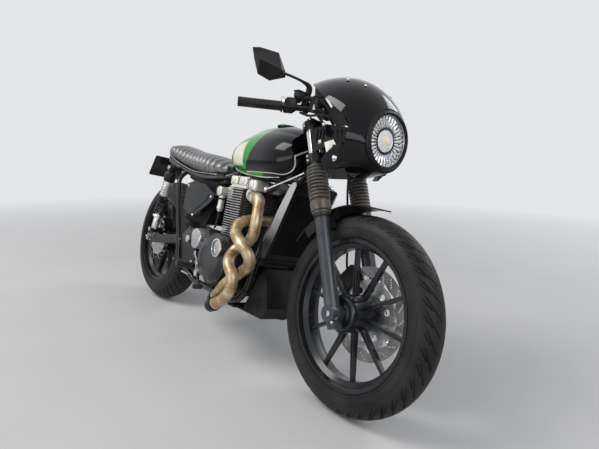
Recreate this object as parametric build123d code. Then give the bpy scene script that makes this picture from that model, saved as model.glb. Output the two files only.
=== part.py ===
from build123d import *
import math
import os

# Cafe racer motorcycle, drawn upright in millimetres: X runs forward from the rear axle,
# Y to the rider's left, Z up from the ground. At the end the whole machine leans on its side stand.

# Wheels and steering
WHEELBASE = 1439.0
RAKE = 25.1
TRAIL = 102.4
FRONT_RADIUS = 318.0
FRONT_SECTION = 55.0
REAR_RADIUS = 320.0
REAR_SECTION = 75.0
TYRE_WALL = 11.0
SPOKES = 10
SPOKE_PHASE = 0.175
RUN_GAP = 0.3
FIT = 0.05
LEAN = 12.0

# Fork, measured along, across and ahead of the steering axis
FORK_HALF = 100.0
FORK_AHEAD = 42.2
STANCHION_R = 20.5
SLIDER_R = 24.5
GAITER_R = 36.0
GAITER_RINGS = 8
LOWER_YOKE = (832.0, 864.0)
UPPER_YOKE = (962.0, 988.0)
GAITER_SPAN = (655.0, 822.0)
HEAD_TUBE_R = 28.0
STEM_R = 14.0
AXLE_R = 9.0
STEER_LOCK = 35.0
LOCK_GAP = 7.0

# Frame
TUBE_R = 15.0
RAIL_R = 13.0
CRADLE_HALF = 95.0
CRADLE_Z = 203.0
UPRIGHT_R = 11.0
UPRIGHT_HALF = 140.0
BACKBONE_R = 20.0
PIVOT = (525.0, 393.0)
PIVOT_R = 12.0
PIVOT_HALF = 128.0
PLATE = 8.0
SEAT_RAIL_HALF = 92.0
TAIL_TUBE = (20, 748)
RAIL_LINE = [(600, 684), (460, 680), (330, 686), (190, 705), TAIL_TUBE]
BACKBONE_REAR = (668, 733)
CRADLE_REAR = (425, 270)
CRADLE_REAR_HALF = 118.0
ARM_HALF = 115.0
ARM = 24.0
SHOCK_HALF = 148.0
SHOCK_TOP = (185.0, 700.0)
SHOCK_LOW = (90.0, 372.0)
SHOCK_EYE_R = 17.0
SHOCK_PIN_R = 8.0

# Engine
BARREL_X = (728.0, 862.0)
BARREL_HALF = 132.0
BARREL_BASE = 415.0
HEAD_BASE = 552.0
HEAD_TOP = 655.0
COVER_TOP = 700.0
FIN = 3.4
FIN_PITCH = 9.6
CASE_HALF = 108.0
SADDLE_X = (690.0, 830.0)
CLUTCH_AT = (765.0, 352.0)
CLUTCH_R = 104.0
CLUTCH_OUT = 186.0
PORT_SIDE = 88.0
PORT_Z = 628.0
PORT_R = 26.0
PIPE_R = 22.0
INTAKE_SIDE = 62.0
BOX_FRONT = 624.0

# Tank
TANK_HALF = 136.0

# Lamp and fairing
LAMP_X = WHEELBASE - 12
LAMP_Z = 877.0
LAMP_R = 84.0
SHELL = 3.0

S0 = Vector(WHEELBASE + TRAIL, 0, 0)
ALONG = Vector(-math.sin(math.radians(RAKE)), 0, math.cos(math.radians(RAKE)))
AHEAD = Vector(math.cos(math.radians(RAKE)), 0, math.sin(math.radians(RAKE)))
FRONT_AXLE = Vector(WHEELBASE, 0, FRONT_RADIUS)
REAR_AXLE = Vector(0, 0, REAR_RADIUS)


def steer_point(along, side, ahead):
    """A point given along, across and ahead of the steering axis."""
    return S0 + ALONG * along + AHEAD * ahead + Vector(0, side, 0)


AXLE_ALONG = (FRONT_AXLE - S0).dot(ALONG)
STEER_PLANE = Plane(origin=S0, x_dir=AHEAD, z_dir=ALONG)


def rod(start, end, radius):
    """A round bar between two points."""
    start, end = Vector(*start), Vector(*end)
    run = end - start
    bar = Cylinder(radius, run.length, align=(Align.CENTER, Align.CENTER, Align.MIN))
    return Plane(origin=start, z_dir=run) * bar


def pipe_path(points, share=0.45):
    """Straight runs joined by arcs as large as their runs allow."""
    points = [Vector(*p) for p in points]
    radii = []
    for before, here, after in zip(points, points[1:], points[2:]):
        turn = math.radians((here - before).get_angle(after - here))
        shorter = min((here - before).length, (after - here).length)
        radii.append(share * shorter / math.tan(turn / 2))
    if not radii:
        return Line(points[0], points[1])
    return FilletPolyline(*points, radius=radii)


def tube(points, radius, share=0.45):
    """A round bar swept along a bent path."""
    path = pipe_path(points, share)
    start = Plane(origin=path @ 0, z_dir=path % 0)
    return sweep(start * Circle(radius), path=path)


def side_plate(outline, right, left, corner=0.0):
    """A plate with a side outline of (X, Z) points between two Y values."""
    face = make_face(Polyline(*outline, close=True))
    if corner:
        face = fillet(face.vertices(), corner)
    plane = Plane(origin=(0, left, 0), x_dir=(1, 0, 0), z_dir=(0, -1, 0))
    return extrude(plane * face, amount=left - right, dir=(0, -1, 0))


def across(radius, x, z, right, left):
    """A round bar lying across the machine."""
    return rod((x, right, z), (x, left, z), radius)


def section(x, low, high, low_half, wide_half, wide_z, top_half, corner):
    """A face across the machine: flat floor, bowed sides and a crowned top."""
    shoulder = high - 0.16 * (high - low)
    floor = Line((-low_half, low), (low_half, low))
    left = ThreePointArc((low_half, low), (wide_half, wide_z), (top_half, shoulder))
    crown = ThreePointArc((top_half, shoulder), (0, high), (-top_half, shoulder))
    right = ThreePointArc((-top_half, shoulder), (-wide_half, wide_z), (-low_half, low))
    face = make_face([floor, left, crown, right])
    face = fillet(face.vertices(), corner)
    return Plane(origin=(x, 0, 0), x_dir=(0, 1, 0), z_dir=(1, 0, 0)) * face


# Wheels, centred on the origin with the axle along Y

def rim_face(bead, half):
    """Half of a rim's section on both sides: flanges, bead seats and a well."""
    right = [(bead - 10, half), (bead + 7, half), (bead + 7, half - 5), (bead - 2, half - 8),
             (bead - 4, half - 20), (bead - 18, half - 32)]
    inner = [(bead - 28, half - 30), (bead - 13, half - 18)]
    outline = right + [(r, -y) for r, y in reversed(right)]
    outline += [(r, -y) for r, y in reversed(inner)] + inner
    return make_face(Polyline(*outline, close=True))


def tyre_face(radius, half, bead, rim):
    """A tyre's section: a round carcass with open inside, seated on the rim."""
    ring = Pos(radius - half, 0) * (Circle(half) - Circle(half - TYRE_WALL))
    below = Pos(bead / 2, 0) * Rectangle(bead, 4 * half)
    return ring - below - rim


def cast_wheel(bead, half, hub_r, hub_right, hub_left, spoke_wide, spoke_deep):
    """A cast wheel: rim, ten channelled spokes and a bored hub."""
    rim = revolve(rim_face(bead, half), Axis.Y)
    hub_profile = [(AXLE_R + FIT, -hub_right), (hub_r * 0.52, -hub_right),
                   (hub_r * 0.62, -hub_right + 8), (hub_r, -hub_right + 14),
                   (hub_r, hub_left - 20), (hub_r * 0.8, hub_left - 6),
                   (hub_r * 0.8, hub_left), (AXLE_R + FIT, hub_left)]
    hub = revolve(make_face(Polyline(*hub_profile, close=True)), Axis.Y)
    reach = bead - 20
    start = hub_r - 6
    foot = Plane.YZ.offset(start) * Rectangle(spoke_deep * 1.25, spoke_wide)
    tip = Plane.YZ.offset(reach) * Rectangle(spoke_deep * 0.8, spoke_wide * 0.8)
    spoke = loft([foot, tip])
    middle = (start + reach) / 2
    groove = Box(reach - start - 26, spoke_deep, spoke_wide * 0.36)
    for side in (-1, 1):
        spoke -= Pos(middle, side * spoke_deep * 0.93, 0) * groove
    wheel = rim + hub
    for k in range(SPOKES):
        wheel += Rot(0, 360 / SPOKES * (k + SPOKE_PHASE), 0) * spoke
    return wheel


FRONT_BEAD = 236.0
REAR_BEAD = 224.0
FRONT_RIM_HALF = 47.0
REAR_RIM_HALF = 64.0
FRONT_HUB = (60.0, 45.0, 42.0)
REAR_HUB = (62.0, 60.0, 52.0)


def front_wheel():
    radius, right, left = FRONT_HUB
    wheel = cast_wheel(FRONT_BEAD, FRONT_RIM_HALF, radius, right, left, 14, 18)
    for k in range(6):
        slot = Rot(0, 60 * k, 0) * Pos(44, -right + 10, 0) * Box(8, 30, 18)
        wheel -= slot
    return Pos(FRONT_AXLE) * wheel


def rear_wheel():
    radius, right, left = REAR_HUB
    return Pos(REAR_AXLE) * cast_wheel(REAR_BEAD, REAR_RIM_HALF, radius, right, left, 15, 24)


def front_tyre():
    rim = rim_face(FRONT_BEAD, FRONT_RIM_HALF)
    face = tyre_face(FRONT_RADIUS, FRONT_SECTION, FRONT_BEAD - 2, rim)
    return Pos(FRONT_AXLE) * revolve(face, Axis.Y)


def rear_tyre():
    rim = rim_face(REAR_BEAD, REAR_RIM_HALF)
    face = tyre_face(REAR_RADIUS, REAR_SECTION, REAR_BEAD - 2, rim)
    return Pos(REAR_AXLE) * revolve(face, Axis.Y)


FRONT_DISC = (155.0, 118.0, 60.0, 5.0)
REAR_DISC = (127.0, 92.0, -74.0, 5.0)
CHAIN_Y = 90.0
REAR_SPROCKET = (104.0, CHAIN_Y, 7.0)


def disc(outer, inner, y, thick, carrier_in, hub_y):
    """A brake disc: a swept ring on a five-armed carrier that meets the hub."""
    ring = Cylinder(outer, thick) - Cylinder(inner, thick)
    for k in range(5):
        ring += Rot(0, 0, 72 * k) * Pos((inner + carrier_in) / 2, 0, 0) * Box(
            inner - carrier_in + 24, 22, thick)
    ring += Cylinder(carrier_in + 8, thick)
    ring = Rot(90, 0, 0) * ring
    boss = across(carrier_in, 0, 0, *sorted((y, hub_y)))
    return Pos(0, y, 0) * ring + boss - across(AXLE_R + FIT, 0, 0, -300, 300)


def front_disc():
    outer, inner, y, thick = FRONT_DISC
    return Pos(FRONT_AXLE) * disc(outer, inner, y, thick, 44, FRONT_HUB[2])


def rear_disc():
    outer, inner, y, thick = REAR_DISC
    return Pos(REAR_AXLE) * disc(outer, inner, y, thick, 30, -REAR_HUB[1])


def rear_sprocket():
    radius, y, thick = REAR_SPROCKET
    body = across(radius, 0, 0, y - thick / 2, y + thick / 2)
    body += across(46, 0, 0, REAR_HUB[2], y)
    body -= across(AXLE_R + FIT, 0, 0, -300, 300)
    for k in range(6):
        body -= Rot(0, 60 * k, 0) * across(15, 70, 0, y - 20, y + 20)
    return Pos(REAR_AXLE) * body


def front_axle():
    half = FORK_HALF + 22
    axle = rod((0, -half, 0), (0, half, 0), AXLE_R)
    for side, inner in ((-1, FRONT_HUB[1]), (1, FRONT_DISC[2] + FRONT_DISC[3] / 2)):
        y = side * (inner + RUN_GAP)
        axle += rod((0, y, 0), (0, side * (FORK_HALF - SLIDER_R), 0), 14)
    return Pos(FRONT_AXLE) * axle


def rear_axle():
    half = ARM_HALF + 26
    axle = rod((0, -half, 0), (0, half, 0), AXLE_R)
    for side, inner in ((-1, -REAR_DISC[2] + REAR_DISC[3] / 2),
                        (1, REAR_SPROCKET[1] + REAR_SPROCKET[2] / 2)):
        axle += rod((0, side * (inner + RUN_GAP), 0), (0, side * (ARM_HALF - ARM / 2), 0), 13)
    for side in (-1, 1):
        axle += rod((0, side * (ARM_HALF + ARM / 2), 0), (0, side * half, 0), 15)
    return Pos(REAR_AXLE) * axle


# Fork and steering

def fork_legs():
    legs = []
    for side in (-1, 1):
        low = steer_point(AXLE_ALONG - 22, side * FORK_HALF, FORK_AHEAD)
        high = steer_point(GAITER_SPAN[0] + 8, side * FORK_HALF, FORK_AHEAD)
        leg = rod(low, high, SLIDER_R)
        boss = rod((WHEELBASE, side * (FORK_HALF - SLIDER_R), FRONT_RADIUS),
                   (WHEELBASE, side * (FORK_HALF + SLIDER_R), FRONT_RADIUS), 27)
        clamp = steer_point(AXLE_ALONG - 34, side * FORK_HALF, FORK_AHEAD)
        leg = leg + boss + Plane(origin=clamp, x_dir=AHEAD, z_dir=ALONG) * Box(34, 30, 26)
        legs.append(leg - across(AXLE_R, WHEELBASE, FRONT_RADIUS, -200, 200))
    lug_outline = [(WHEELBASE + dx, z) for dx, z in ((-117, 372), (-47, 352), (-35, 450), (-89, 450))]
    caliper_lug = side_plate(lug_outline,
                             CALIPER_Y[1], CALIPER_Y[1] + 10, 8)
    legs[1] = legs[1] + caliper_lug
    return legs


def stanchions():
    out = []
    for side in (-1, 1):
        low = steer_point(GAITER_SPAN[0] + 8, side * FORK_HALF, FORK_AHEAD)
        high = steer_point(UPPER_YOKE[1] + 10, side * FORK_HALF, FORK_AHEAD)
        out.append(rod(low, high, STANCHION_R))
    return out


def gaiters():
    out = []
    low, high = GAITER_SPAN
    ring_low = low + 48
    pitch = (high - 22 - ring_low) / GAITER_RINGS
    for side in (-1, 1):
        points = [(STANCHION_R, low + 8), (SLIDER_R, low + 8), (SLIDER_R, low),
                  (GAITER_R - 6, low), (GAITER_R - 2, low + 12), (GAITER_R, ring_low - 8)]
        for k in range(GAITER_RINGS):
            base = ring_low + k * pitch
            points += [(GAITER_R - 8, base), (GAITER_R, base + 0.3 * pitch),
                       (GAITER_R, base + 0.7 * pitch)]
        points += [(GAITER_R - 8, high - 22), (GAITER_R - 3, high - 18), (GAITER_R - 3, high),
                   (STANCHION_R, high)]
        face = make_face(Polyline(*points, close=True))
        ring = revolve(Plane.XZ * face, Axis.Z)
        out.append(STEER_PLANE * (Pos(FORK_AHEAD, side * FORK_HALF, 0) * ring))
    return out


def yoke(span, stem_out, clamp_r):
    """One fork yoke: two clamps joined by a web that carries the stem."""
    low, high = span
    deep = high - low
    stem = Circle(stem_out)
    outline = make_hull([*(Pos(0, 0) * stem).edges(),
                         *(Pos(FORK_AHEAD, FORK_HALF) * Circle(clamp_r)).edges(),
                         *(Pos(FORK_AHEAD, -FORK_HALF) * Circle(clamp_r)).edges()])
    body = extrude(outline, amount=deep)
    for side in (-1, 1):
        body -= Pos(FORK_AHEAD, side * FORK_HALF, 0) * Cylinder(
            STANCHION_R, deep, align=(Align.CENTER, Align.CENTER, Align.MIN))
        body -= Pos(FORK_AHEAD + 34, side * 45, 0) * Cylinder(
            22, deep, align=(Align.CENTER, Align.CENTER, Align.MIN))
    return STEER_PLANE * (Pos(0, 0, low) * body)


def yokes():
    lower = yoke(LOWER_YOKE, 34, 32)
    upper = yoke(UPPER_YOKE, 30, 31)
    stem = rod(steer_point(LOWER_YOKE[0], 0, 0), steer_point(UPPER_YOKE[1] + 12, 0, 0), STEM_R)
    return lower + upper + stem


BAR_R = 11.0
BAR_CLAMP = (WHEELBASE - 293, 965.0)


def bar_points():
    """The bar's centre line on the right-hand side, from the clamp to the end."""
    x, z = BAR_CLAMP
    return [(x - 6, 0, z), (x, -48, z), (x + 22, -112, z - 4), (x - 97, -332, z - 34)]


def bar_tube():
    """The bar itself, from end to end."""
    right = bar_points()
    path = [(x, -y, z) for x, y, z in reversed(right[1:])] + right[1:]
    return tube(path, BAR_R, 0.4)


def handlebar():
    bar = bar_tube()
    x, z = BAR_CLAMP
    for side in (-1, 1):
        bar += rod(steer_point(UPPER_YOKE[1] - 20, side * 30, 22), (x, side * 30, z), 13)
        bar += across(20, x, z, side * 30 - 12, side * 30 + 12)
        bar -= bar_bore(side)
    return bar - yoke_top()


def yoke_top():
    """The space under the upper yoke's top face, which trims what stands on it."""
    deep = 60
    return STEER_PLANE * (Pos(0, 0, UPPER_YOKE[1] - deep / 2) * Box(240, 300, deep))


GRIP_FROM = 0.44
GRIP_R = 16.5
GRIP_END = 6.0
BAR_BORE = (7.0, 40.0)
PERCH_AT = 0.10
MASTER = Vector(48, 0, -2.5)


def grip_line(side, near, far):
    """Two points on the bar's outer straight run, as shares of it."""
    inner, outer = [Vector(*p) for p in bar_points()[2:]]
    run = outer - inner
    out = [inner + run * near, inner + run * far]
    return [Vector(p.X, -side * p.Y, p.Z) for p in out]


def bar_bore(side):
    """The open end of the bar's tube, which runs out through the grip's end."""
    start, end = grip_line(side, GRIP_FROM, 1.0)
    run = (end - start).normalized()
    return rod(end - run * BAR_BORE[1], end + run * 20, BAR_BORE[0])


def grips():
    out = []
    for side in (-1, 1):
        start, end = grip_line(side, GRIP_FROM, 1.0)
        run = (end - start).normalized()
        body = rod(start, end + run * GRIP_END, GRIP_R)
        body += rod(start - run * 4, start, 21)
        body -= rod(start - run * 10, end, BAR_R)
        out.append(body - bar_bore(side))
    return out


def hand_controls():
    """Switch housings, lever perches, levers and the brake reservoir inboard of the grips."""
    out = []
    for side in (-1, 1):
        start, end = grip_line(side, GRIP_FROM - 0.17, GRIP_FROM - 0.03)
        run = (end - start).normalized()
        housing = rod(start, end, 22)
        perch, _ = grip_line(side, PERCH_AT, 1.0)
        clamp = rod(perch - run * 10, perch + run * 10, 17)
        hinge = perch + Vector(38, 0, -2)
        clamp += rod(perch, perch + MASTER, 9)
        lever = tube([hinge - run * 6, hinge + run * 60 + Vector(4, 0, -2),
                      hinge + run * 190 + Vector(-10, 0, -4)], 6.5)
        body = housing + clamp + lever + rod(perch, start + run * 4, 15)
        if side < 0:
            cup = Plane(origin=start + Vector(20, 4, 40)) * Box(28, 40, 24)
            body += fillet(cup.edges().filter_by(Axis.Z), 7)
            body += rod(start + run * 6 + Vector(6, 0, 8), start + Vector(18, 2, 32), 8)
        body += rod(perch + Vector(-6, 0, 0), perch + Vector(-6, 0, 26), 8)
        out.append(body - bar_tube())
    return out


MIRROR_AT = (WHEELBASE - 331, 280.0, 1066.0)
MIRROR_OUTLINE = [(-63, -4), (-27, 35), (58, 28), (52, -16), (40, -46), (-15, -53), (-64, -21)]


def mirrors():
    out = []
    for side in (-1, 1):
        x, y, z = MIRROR_AT
        face = make_face(Polyline(*MIRROR_OUTLINE, close=True))
        plane = Plane(origin=(x, side * y, z), x_dir=(-0.35, side * 0.94, 0.1),
                      z_dir=(0.93, side * 0.35, -0.08))
        shell = extrude(plane * face, amount=-7) + extrude(plane * face, amount=13, taper=38)
        perch, _ = grip_line(side, PERCH_AT, 1.0)
        foot = perch + Vector(-6, 0, 26)
        stem = tube([foot, foot + Vector(0, 0, 36), foot + Vector(-14, side * 58, 66),
                     (x + 8, side * (y - 32), z - 6)], 6)
        out.append(shell + stem)
    return out


# Lamp and fairing

def fairing_section(x, low, high, half, middle):
    """A fairing section: an upper and a lower arc that meet at the widest line."""
    upper = ThreePointArc((half, middle), (0, high), (-half, middle))
    lower = ThreePointArc((-half, middle), (0, low), (half, middle))
    face = make_face([upper, lower])
    return Plane(origin=(x, 0, 0), x_dir=(0, 1, 0), z_dir=(1, 0, 0)) * face


FAIRING_R = LAMP_R + 17
FAIRING_SECTIONS = [
    # x, low, high, half width, height of the widest line
    (LAMP_X + 5, LAMP_Z - FAIRING_R, LAMP_Z + FAIRING_R, FAIRING_R, LAMP_Z),
    (LAMP_X - 42, 763, 1030, 130, 888),
    (LAMP_X - 117, 748, 1076, 152, 905),
    (LAMP_X - 202, 752, 1096, 160, 915),
    (LAMP_X - 307, 770, 1092, 158, 925),
]
FAIRING_EDGE = [
    # behind the lamp's rim, height
    (-327, 1072), (-265, 1040), (-221, 1020), (-138, 972), (-83, 938),
    (-51, 911), (-45, 885), (-53, 849), (-81, 791), (-101, 740),
]
BRACKET_Y = (114.0, 119.0)
BRACKET_STUD = (LAMP_X - 42, 873.0)
STUD_R = 7.0


def fairing():
    """The bikini fairing with its bowl under the lamp, open at the rear."""
    outer = loft([fairing_section(*s) for s in FAIRING_SECTIONS])
    inner = loft([fairing_section(x, low + SHELL, high - SHELL, half - SHELL, mid)
                  for x, low, high, half, mid in FAIRING_SECTIONS])
    kept = FAIRING_EDGE + [(73, 740), (73, 1130), (-327, 1130)]
    keep = side_plate([(LAMP_X + dx, z) for dx, z in kept], -200, 200)
    shell = (outer - inner) & keep
    for side in (-1, 1):
        stud = across(STUD_R, *BRACKET_STUD, *sorted((side * BRACKET_Y[1], side * 170)))
        shell += stud & outer
    return shell


LAMP_EAR = (LAMP_X - 51, LAMP_Z)


def headlamp():
    """The lamp's bowl with its bezel ring and ears, open at the front."""
    rim = FAIRING_R - SHELL - RUN_GAP
    points = [(0, -84), (40, -80), (72, -48), (LAMP_R - 2, -14), (rim, -6), (rim, 4),
              (LAMP_R, 12), (LAMP_R - 4, 8), (LAMP_R - 4, 2), (LAMP_R - 8, -8), (62, -42),
              (34, -70), (0, -74)]
    bowl = revolve(Plane.XZ * make_face(Polyline(*points, close=True)), Axis.Z)
    lamp = Plane(origin=(LAMP_X, 0, LAMP_Z), x_dir=(0, 1, 0), z_dir=(1, 0, 0)) * bowl
    for side in (-1, 1):
        lamp += across(9, *LAMP_EAR, *sorted((side * 74, side * BRACKET_Y[0])))
    return lamp


def lamp_lens():
    points = [(0, 2), (LAMP_R - 4, 2), (LAMP_R - 4, 6), (50, 11), (0, 13)]
    lens = revolve(Plane.XZ * make_face(Polyline(*points, close=True)), Axis.Z)
    return Plane(origin=(LAMP_X, 0, LAMP_Z), x_dir=(0, 1, 0), z_dir=(1, 0, 0)) * lens


def lamp_brackets():
    """Two stays from the fork tubes to the lamp and fairing, with three slots in each."""
    out = []
    low = steer_point(LOWER_YOKE[1] + 6, 0, FORK_AHEAD + 2)
    high = steer_point(UPPER_YOKE[0] - 6, 0, FORK_AHEAD + 2)
    for side in (-1, 1):
        near, far = sorted((side * BRACKET_Y[0], side * BRACKET_Y[1]))
        outline = [(low.X, low.Z), (high.X, high.Z), (LAMP_X - 165, 905), (LAMP_X - 37, 888),
                   (LAMP_X - 37, 861), (LAMP_X - 127, 838)]
        plate = side_plate(outline, near, far)
        for k in range(3):
            plate -= Pos(LAMP_X - 199 + 16 * k, side * BRACKET_Y[0], 866) * Box(7, 20, 40)
        out.append(plate - rod(steer_point(700, side * FORK_HALF, FORK_AHEAD),
                               steer_point(1000, side * FORK_HALF, FORK_AHEAD), STANCHION_R))
    return out


def instrument():
    """The round instrument on its stay, which stands on the upper yoke."""
    face = Vector(LAMP_X - 215, 0, 1012)
    back = face + Vector(0.64, 0, -0.77) * 40
    body = rod(back, face, 42)
    body += rod(steer_point(UPPER_YOKE[1] - 20, 0, 55), back, 8)
    return body - yoke_top()


FENDER_R = FRONT_RADIUS + 22
FENDER_HALF = 60.0
FENDER_FLANK = 36.0


def front_fender():
    """A short strip over the tyre with deep flanks between the fork legs."""
    strip = Cylinder(FENDER_R + 4, 2 * FENDER_HALF - 8) - Cylinder(FENDER_R, 200)
    flank = Cylinder(FENDER_R + 4, 2 * FENDER_HALF) - Cylinder(FENDER_R - FENDER_FLANK, 200)
    flank -= Cylinder(FENDER_R + 5, 2 * FENDER_HALF - 8)
    top = side_plate([(0, 0), (-290, 300), (-120, 420), (60, 420), (60, 0)], -80, 80)
    top &= extrude(Pos(-130, 0) * RectangleRounded(340, 2 * FENDER_HALF - 8, 40), amount=500)
    back = side_plate([(0, 0), (-290, 260), (-190, 420), (-130, 420), (-40, 0)], -80, 80)
    body = (Rot(90, 0, 0) * strip) & top
    body += (Rot(90, 0, 0) * (strip + flank)) & back
    fender = Pos(FRONT_AXLE) * body
    for side in (-1, 1):
        low = steer_point(AXLE_ALONG, side * FORK_HALF, FORK_AHEAD)
        high = steer_point(GAITER_SPAN[0], side * FORK_HALF, FORK_AHEAD)
        at = steer_point(AXLE_ALONG + 296, side * 68.5, FORK_AHEAD)
        foot = Plane(origin=at, x_dir=AHEAD, z_dir=ALONG) * Box(30, 25, 40)
        fender += foot - rod(low, high, SLIDER_R)
    return fender


CALIPER_Y = (42.0, 75.0)
CALIPER_TURN = 49.0


def front_caliper():
    """The caliper straddles the disc's outer edge behind the left fork leg."""
    turn = math.radians(CALIPER_TURN)
    inward = Vector(math.sin(turn), 0, -math.cos(turn))
    round_disc = Vector(math.cos(turn), 0, math.sin(turn))
    reach = 140.0
    y0, y1 = CALIPER_Y
    body = Box(60, y1 - y0, 100)
    body = fillet(body.edges().filter_by(Axis.Y), 14)
    slot = FRONT_DISC[3] + 6
    body -= Pos(20, 0, 0) * Pos(0, FRONT_DISC[2] - (y0 + y1) / 2, 0) * Box(80, slot, 120)
    at = FRONT_AXLE - inward * reach + Vector(0, (y0 + y1) / 2, 0)
    return Plane(origin=at, x_dir=inward, z_dir=round_disc) * body


def rear_caliper():
    """The rear caliper straddles the disc above the right arm of the swingarm."""
    turn = math.radians(45)
    inward = Vector(-math.sin(turn), 0, -math.cos(turn))
    round_disc = Vector(math.cos(turn), 0, -math.sin(turn))
    y0, y1 = -(ARM_HALF - ARM / 2), -56.0
    body = Box(50, y1 - y0, 76)
    body = fillet(body.edges().filter_by(Axis.Y), 10)
    slot = REAR_DISC[3] + 6
    body -= Pos(18, 0, 0) * Pos(0, REAR_DISC[2] - (y0 + y1) / 2, 0) * Box(70, slot, 120)
    at = REAR_AXLE - inward * 112 + Vector(0, (y0 + y1) / 2, 0)
    return Plane(origin=at, x_dir=inward, z_dir=round_disc) * body


HOSE = [
    # behind the front axle, side, height
    (-209, -122, 950), (-187, -92, 924), (-174, -36, 868), (-176, 22, 790), (-193, 52, 700),
    (-189, 78, 604), (-165, 73, 530), (-139, 60, 464), (-123, 58, 424),
]


def brake_hose():
    """The front brake hose, from the lever down to the caliper."""
    perch, _ = grip_line(-1, PERCH_AT, 1.0)
    route = [(WHEELBASE + dx, y, z) for dx, y, z in HOSE]
    hose = tube([perch + MASTER] + route, 4) - front_caliper()
    return hose - rod(perch, perch + MASTER, 9)


# Frame

DOWN_TOP = steer_point(909, 0, -27)
BACKBONE_BEND = (1040, 0, 800)
DOWN_TUBE = [(1087, 62, 690), (982, 95, 420)]


def head_tube():
    tube_body = rod(steer_point(LOWER_YOKE[1] + RUN_GAP, 0, 0),
                    steer_point(UPPER_YOKE[0] - RUN_GAP, 0, 0), HEAD_TUBE_R)
    return tube_body - rod(steer_point(LOWER_YOKE[0], 0, 0), steer_point(UPPER_YOKE[1], 0, 0),
                           STEM_R + FIT)


def cradle(side, radius):
    """One side of the engine cradle, from the steering head under the engine."""
    half = side * CRADLE_HALF
    (x1, y1, z1), (x2, y2, z2) = DOWN_TUBE
    x3, z3 = CRADLE_REAR
    return tube([DOWN_TOP, (x1, side * y1, z1), (x2, side * y2, z2), (950, half, 262),
                 (886, half, CRADLE_Z), (520, half, CRADLE_Z),
                 (x3, side * CRADLE_REAR_HALF, z3)], radius)


def seat_rails(side, radius):
    """One seat rail, from the backbone to the tail."""
    line = [(x, side * SEAT_RAIL_HALF, z) for x, z in RAIL_LINE]
    x, z = BACKBONE_REAR
    return tube([(x, side * 18, z)] + line, radius)


def uprights(side, radius):
    """The straight tube from the seat rail down to the pivot plate."""
    return tube([(243, side * SEAT_RAIL_HALF, 700), (262, side * UPRIGHT_HALF, 655),
                 (418, side * UPRIGHT_HALF, 266)], radius)


def shock_stud(side):
    """The stud on the seat rail that carries a shock's upper eye."""
    x, z = SHOCK_TOP
    return rod((x, side * SEAT_RAIL_HALF, z + 6), (x, side * (SHOCK_HALF + 18), z),
               SHOCK_PIN_R + 3)


def main_frame():
    frame = head_tube()
    bx, bz = BACKBONE_REAR
    frame += tube([steer_point(927, 0, -20), BACKBONE_BEND, (bx, 0, bz)], BACKBONE_R)
    px, pz = PIVOT
    outline = [(px - 116, pz - 136), (px - 158, pz - 20), (px - 60, pz + 52), (px + 30, pz + 40),
               (px + 40, pz - 110), (px - 30, pz - 140)]
    for side in (-1, 1):
        frame += cradle(side, TUBE_R) + seat_rails(side, RAIL_R) + uprights(side, UPRIGHT_R)
        near, far = sorted((side * PIVOT_HALF, side * (PIVOT_HALF + PLATE)))
        frame += side_plate(outline, near, far, 12)
        frame += shock_stud(side)
    frame += across(BACKBONE_R, bx, bz, -24, 24)
    frame += across(RAIL_R, *TAIL_TUBE, -SEAT_RAIL_HALF, SEAT_RAIL_HALF)
    frame += across(RAIL_R, *CRADLE_REAR, -CRADLE_REAR_HALF, CRADLE_REAR_HALF)
    for x, z in TANK_POSTS:
        frame += across(TANK_POST_R, x, z, -TUNNEL_HALF, TUNNEL_HALF)
    frame += stand_lug()
    return frame - across(PIVOT_R, px, pz, -200, 200)


def swingarm():
    """The fork of the rear wheel with its cross tubes and its pivot bolt."""
    px, pz = PIVOT
    arm = across(22, px, pz, -PIVOT_HALF, PIVOT_HALF)
    for side in (-1, 1):
        low, high = sorted((side * (ARM_HALF - ARM / 2), side * (ARM_HALF + ARM / 2)))
        outline = [(px + 10, pz - 20), (px + 10, pz + 20), (60, REAR_RADIUS + 26),
                   (-44, REAR_RADIUS + 22), (-44, REAR_RADIUS - 22), (60, REAR_RADIUS - 20)]
        arm += side_plate(outline, low, high, 9)
        x, z = SHOCK_LOW
        arm += side_plate([(x - 38, 330), (x + 32, 330), (x + 16, z + 14), (x - 16, z + 14)],
                          low, high, 8)
        arm += across(SHOCK_PIN_R, x, z, *sorted((side * ARM_HALF, side * (SHOCK_HALF + 22))))
    arm += across(16, 402, 372, -ARM_HALF, ARM_HALF)
    arm -= across(AXLE_R, 0, REAR_RADIUS, -200, 200)
    arm += across(PIVOT_R, px, pz, -PIVOT_HALF - 30, PIVOT_HALF + 22)
    arm += across(24, px, pz, -PIVOT_HALF - 34, -PIVOT_HALF - PLATE)
    arm += across(20, px, pz, PIVOT_HALF + PLATE, PIVOT_HALF + 20)
    return arm


def shock_line(side, share):
    """A point along one shock from its lower eye, as a share of its length."""
    top = Vector(SHOCK_TOP[0], side * SHOCK_HALF, SHOCK_TOP[1])
    low = Vector(SHOCK_LOW[0], side * SHOCK_HALF, SHOCK_LOW[1])
    return low + (top - low) * share


COILS = 6
COIL_R = 23.5
COIL_WIRE = 4.2


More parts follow.
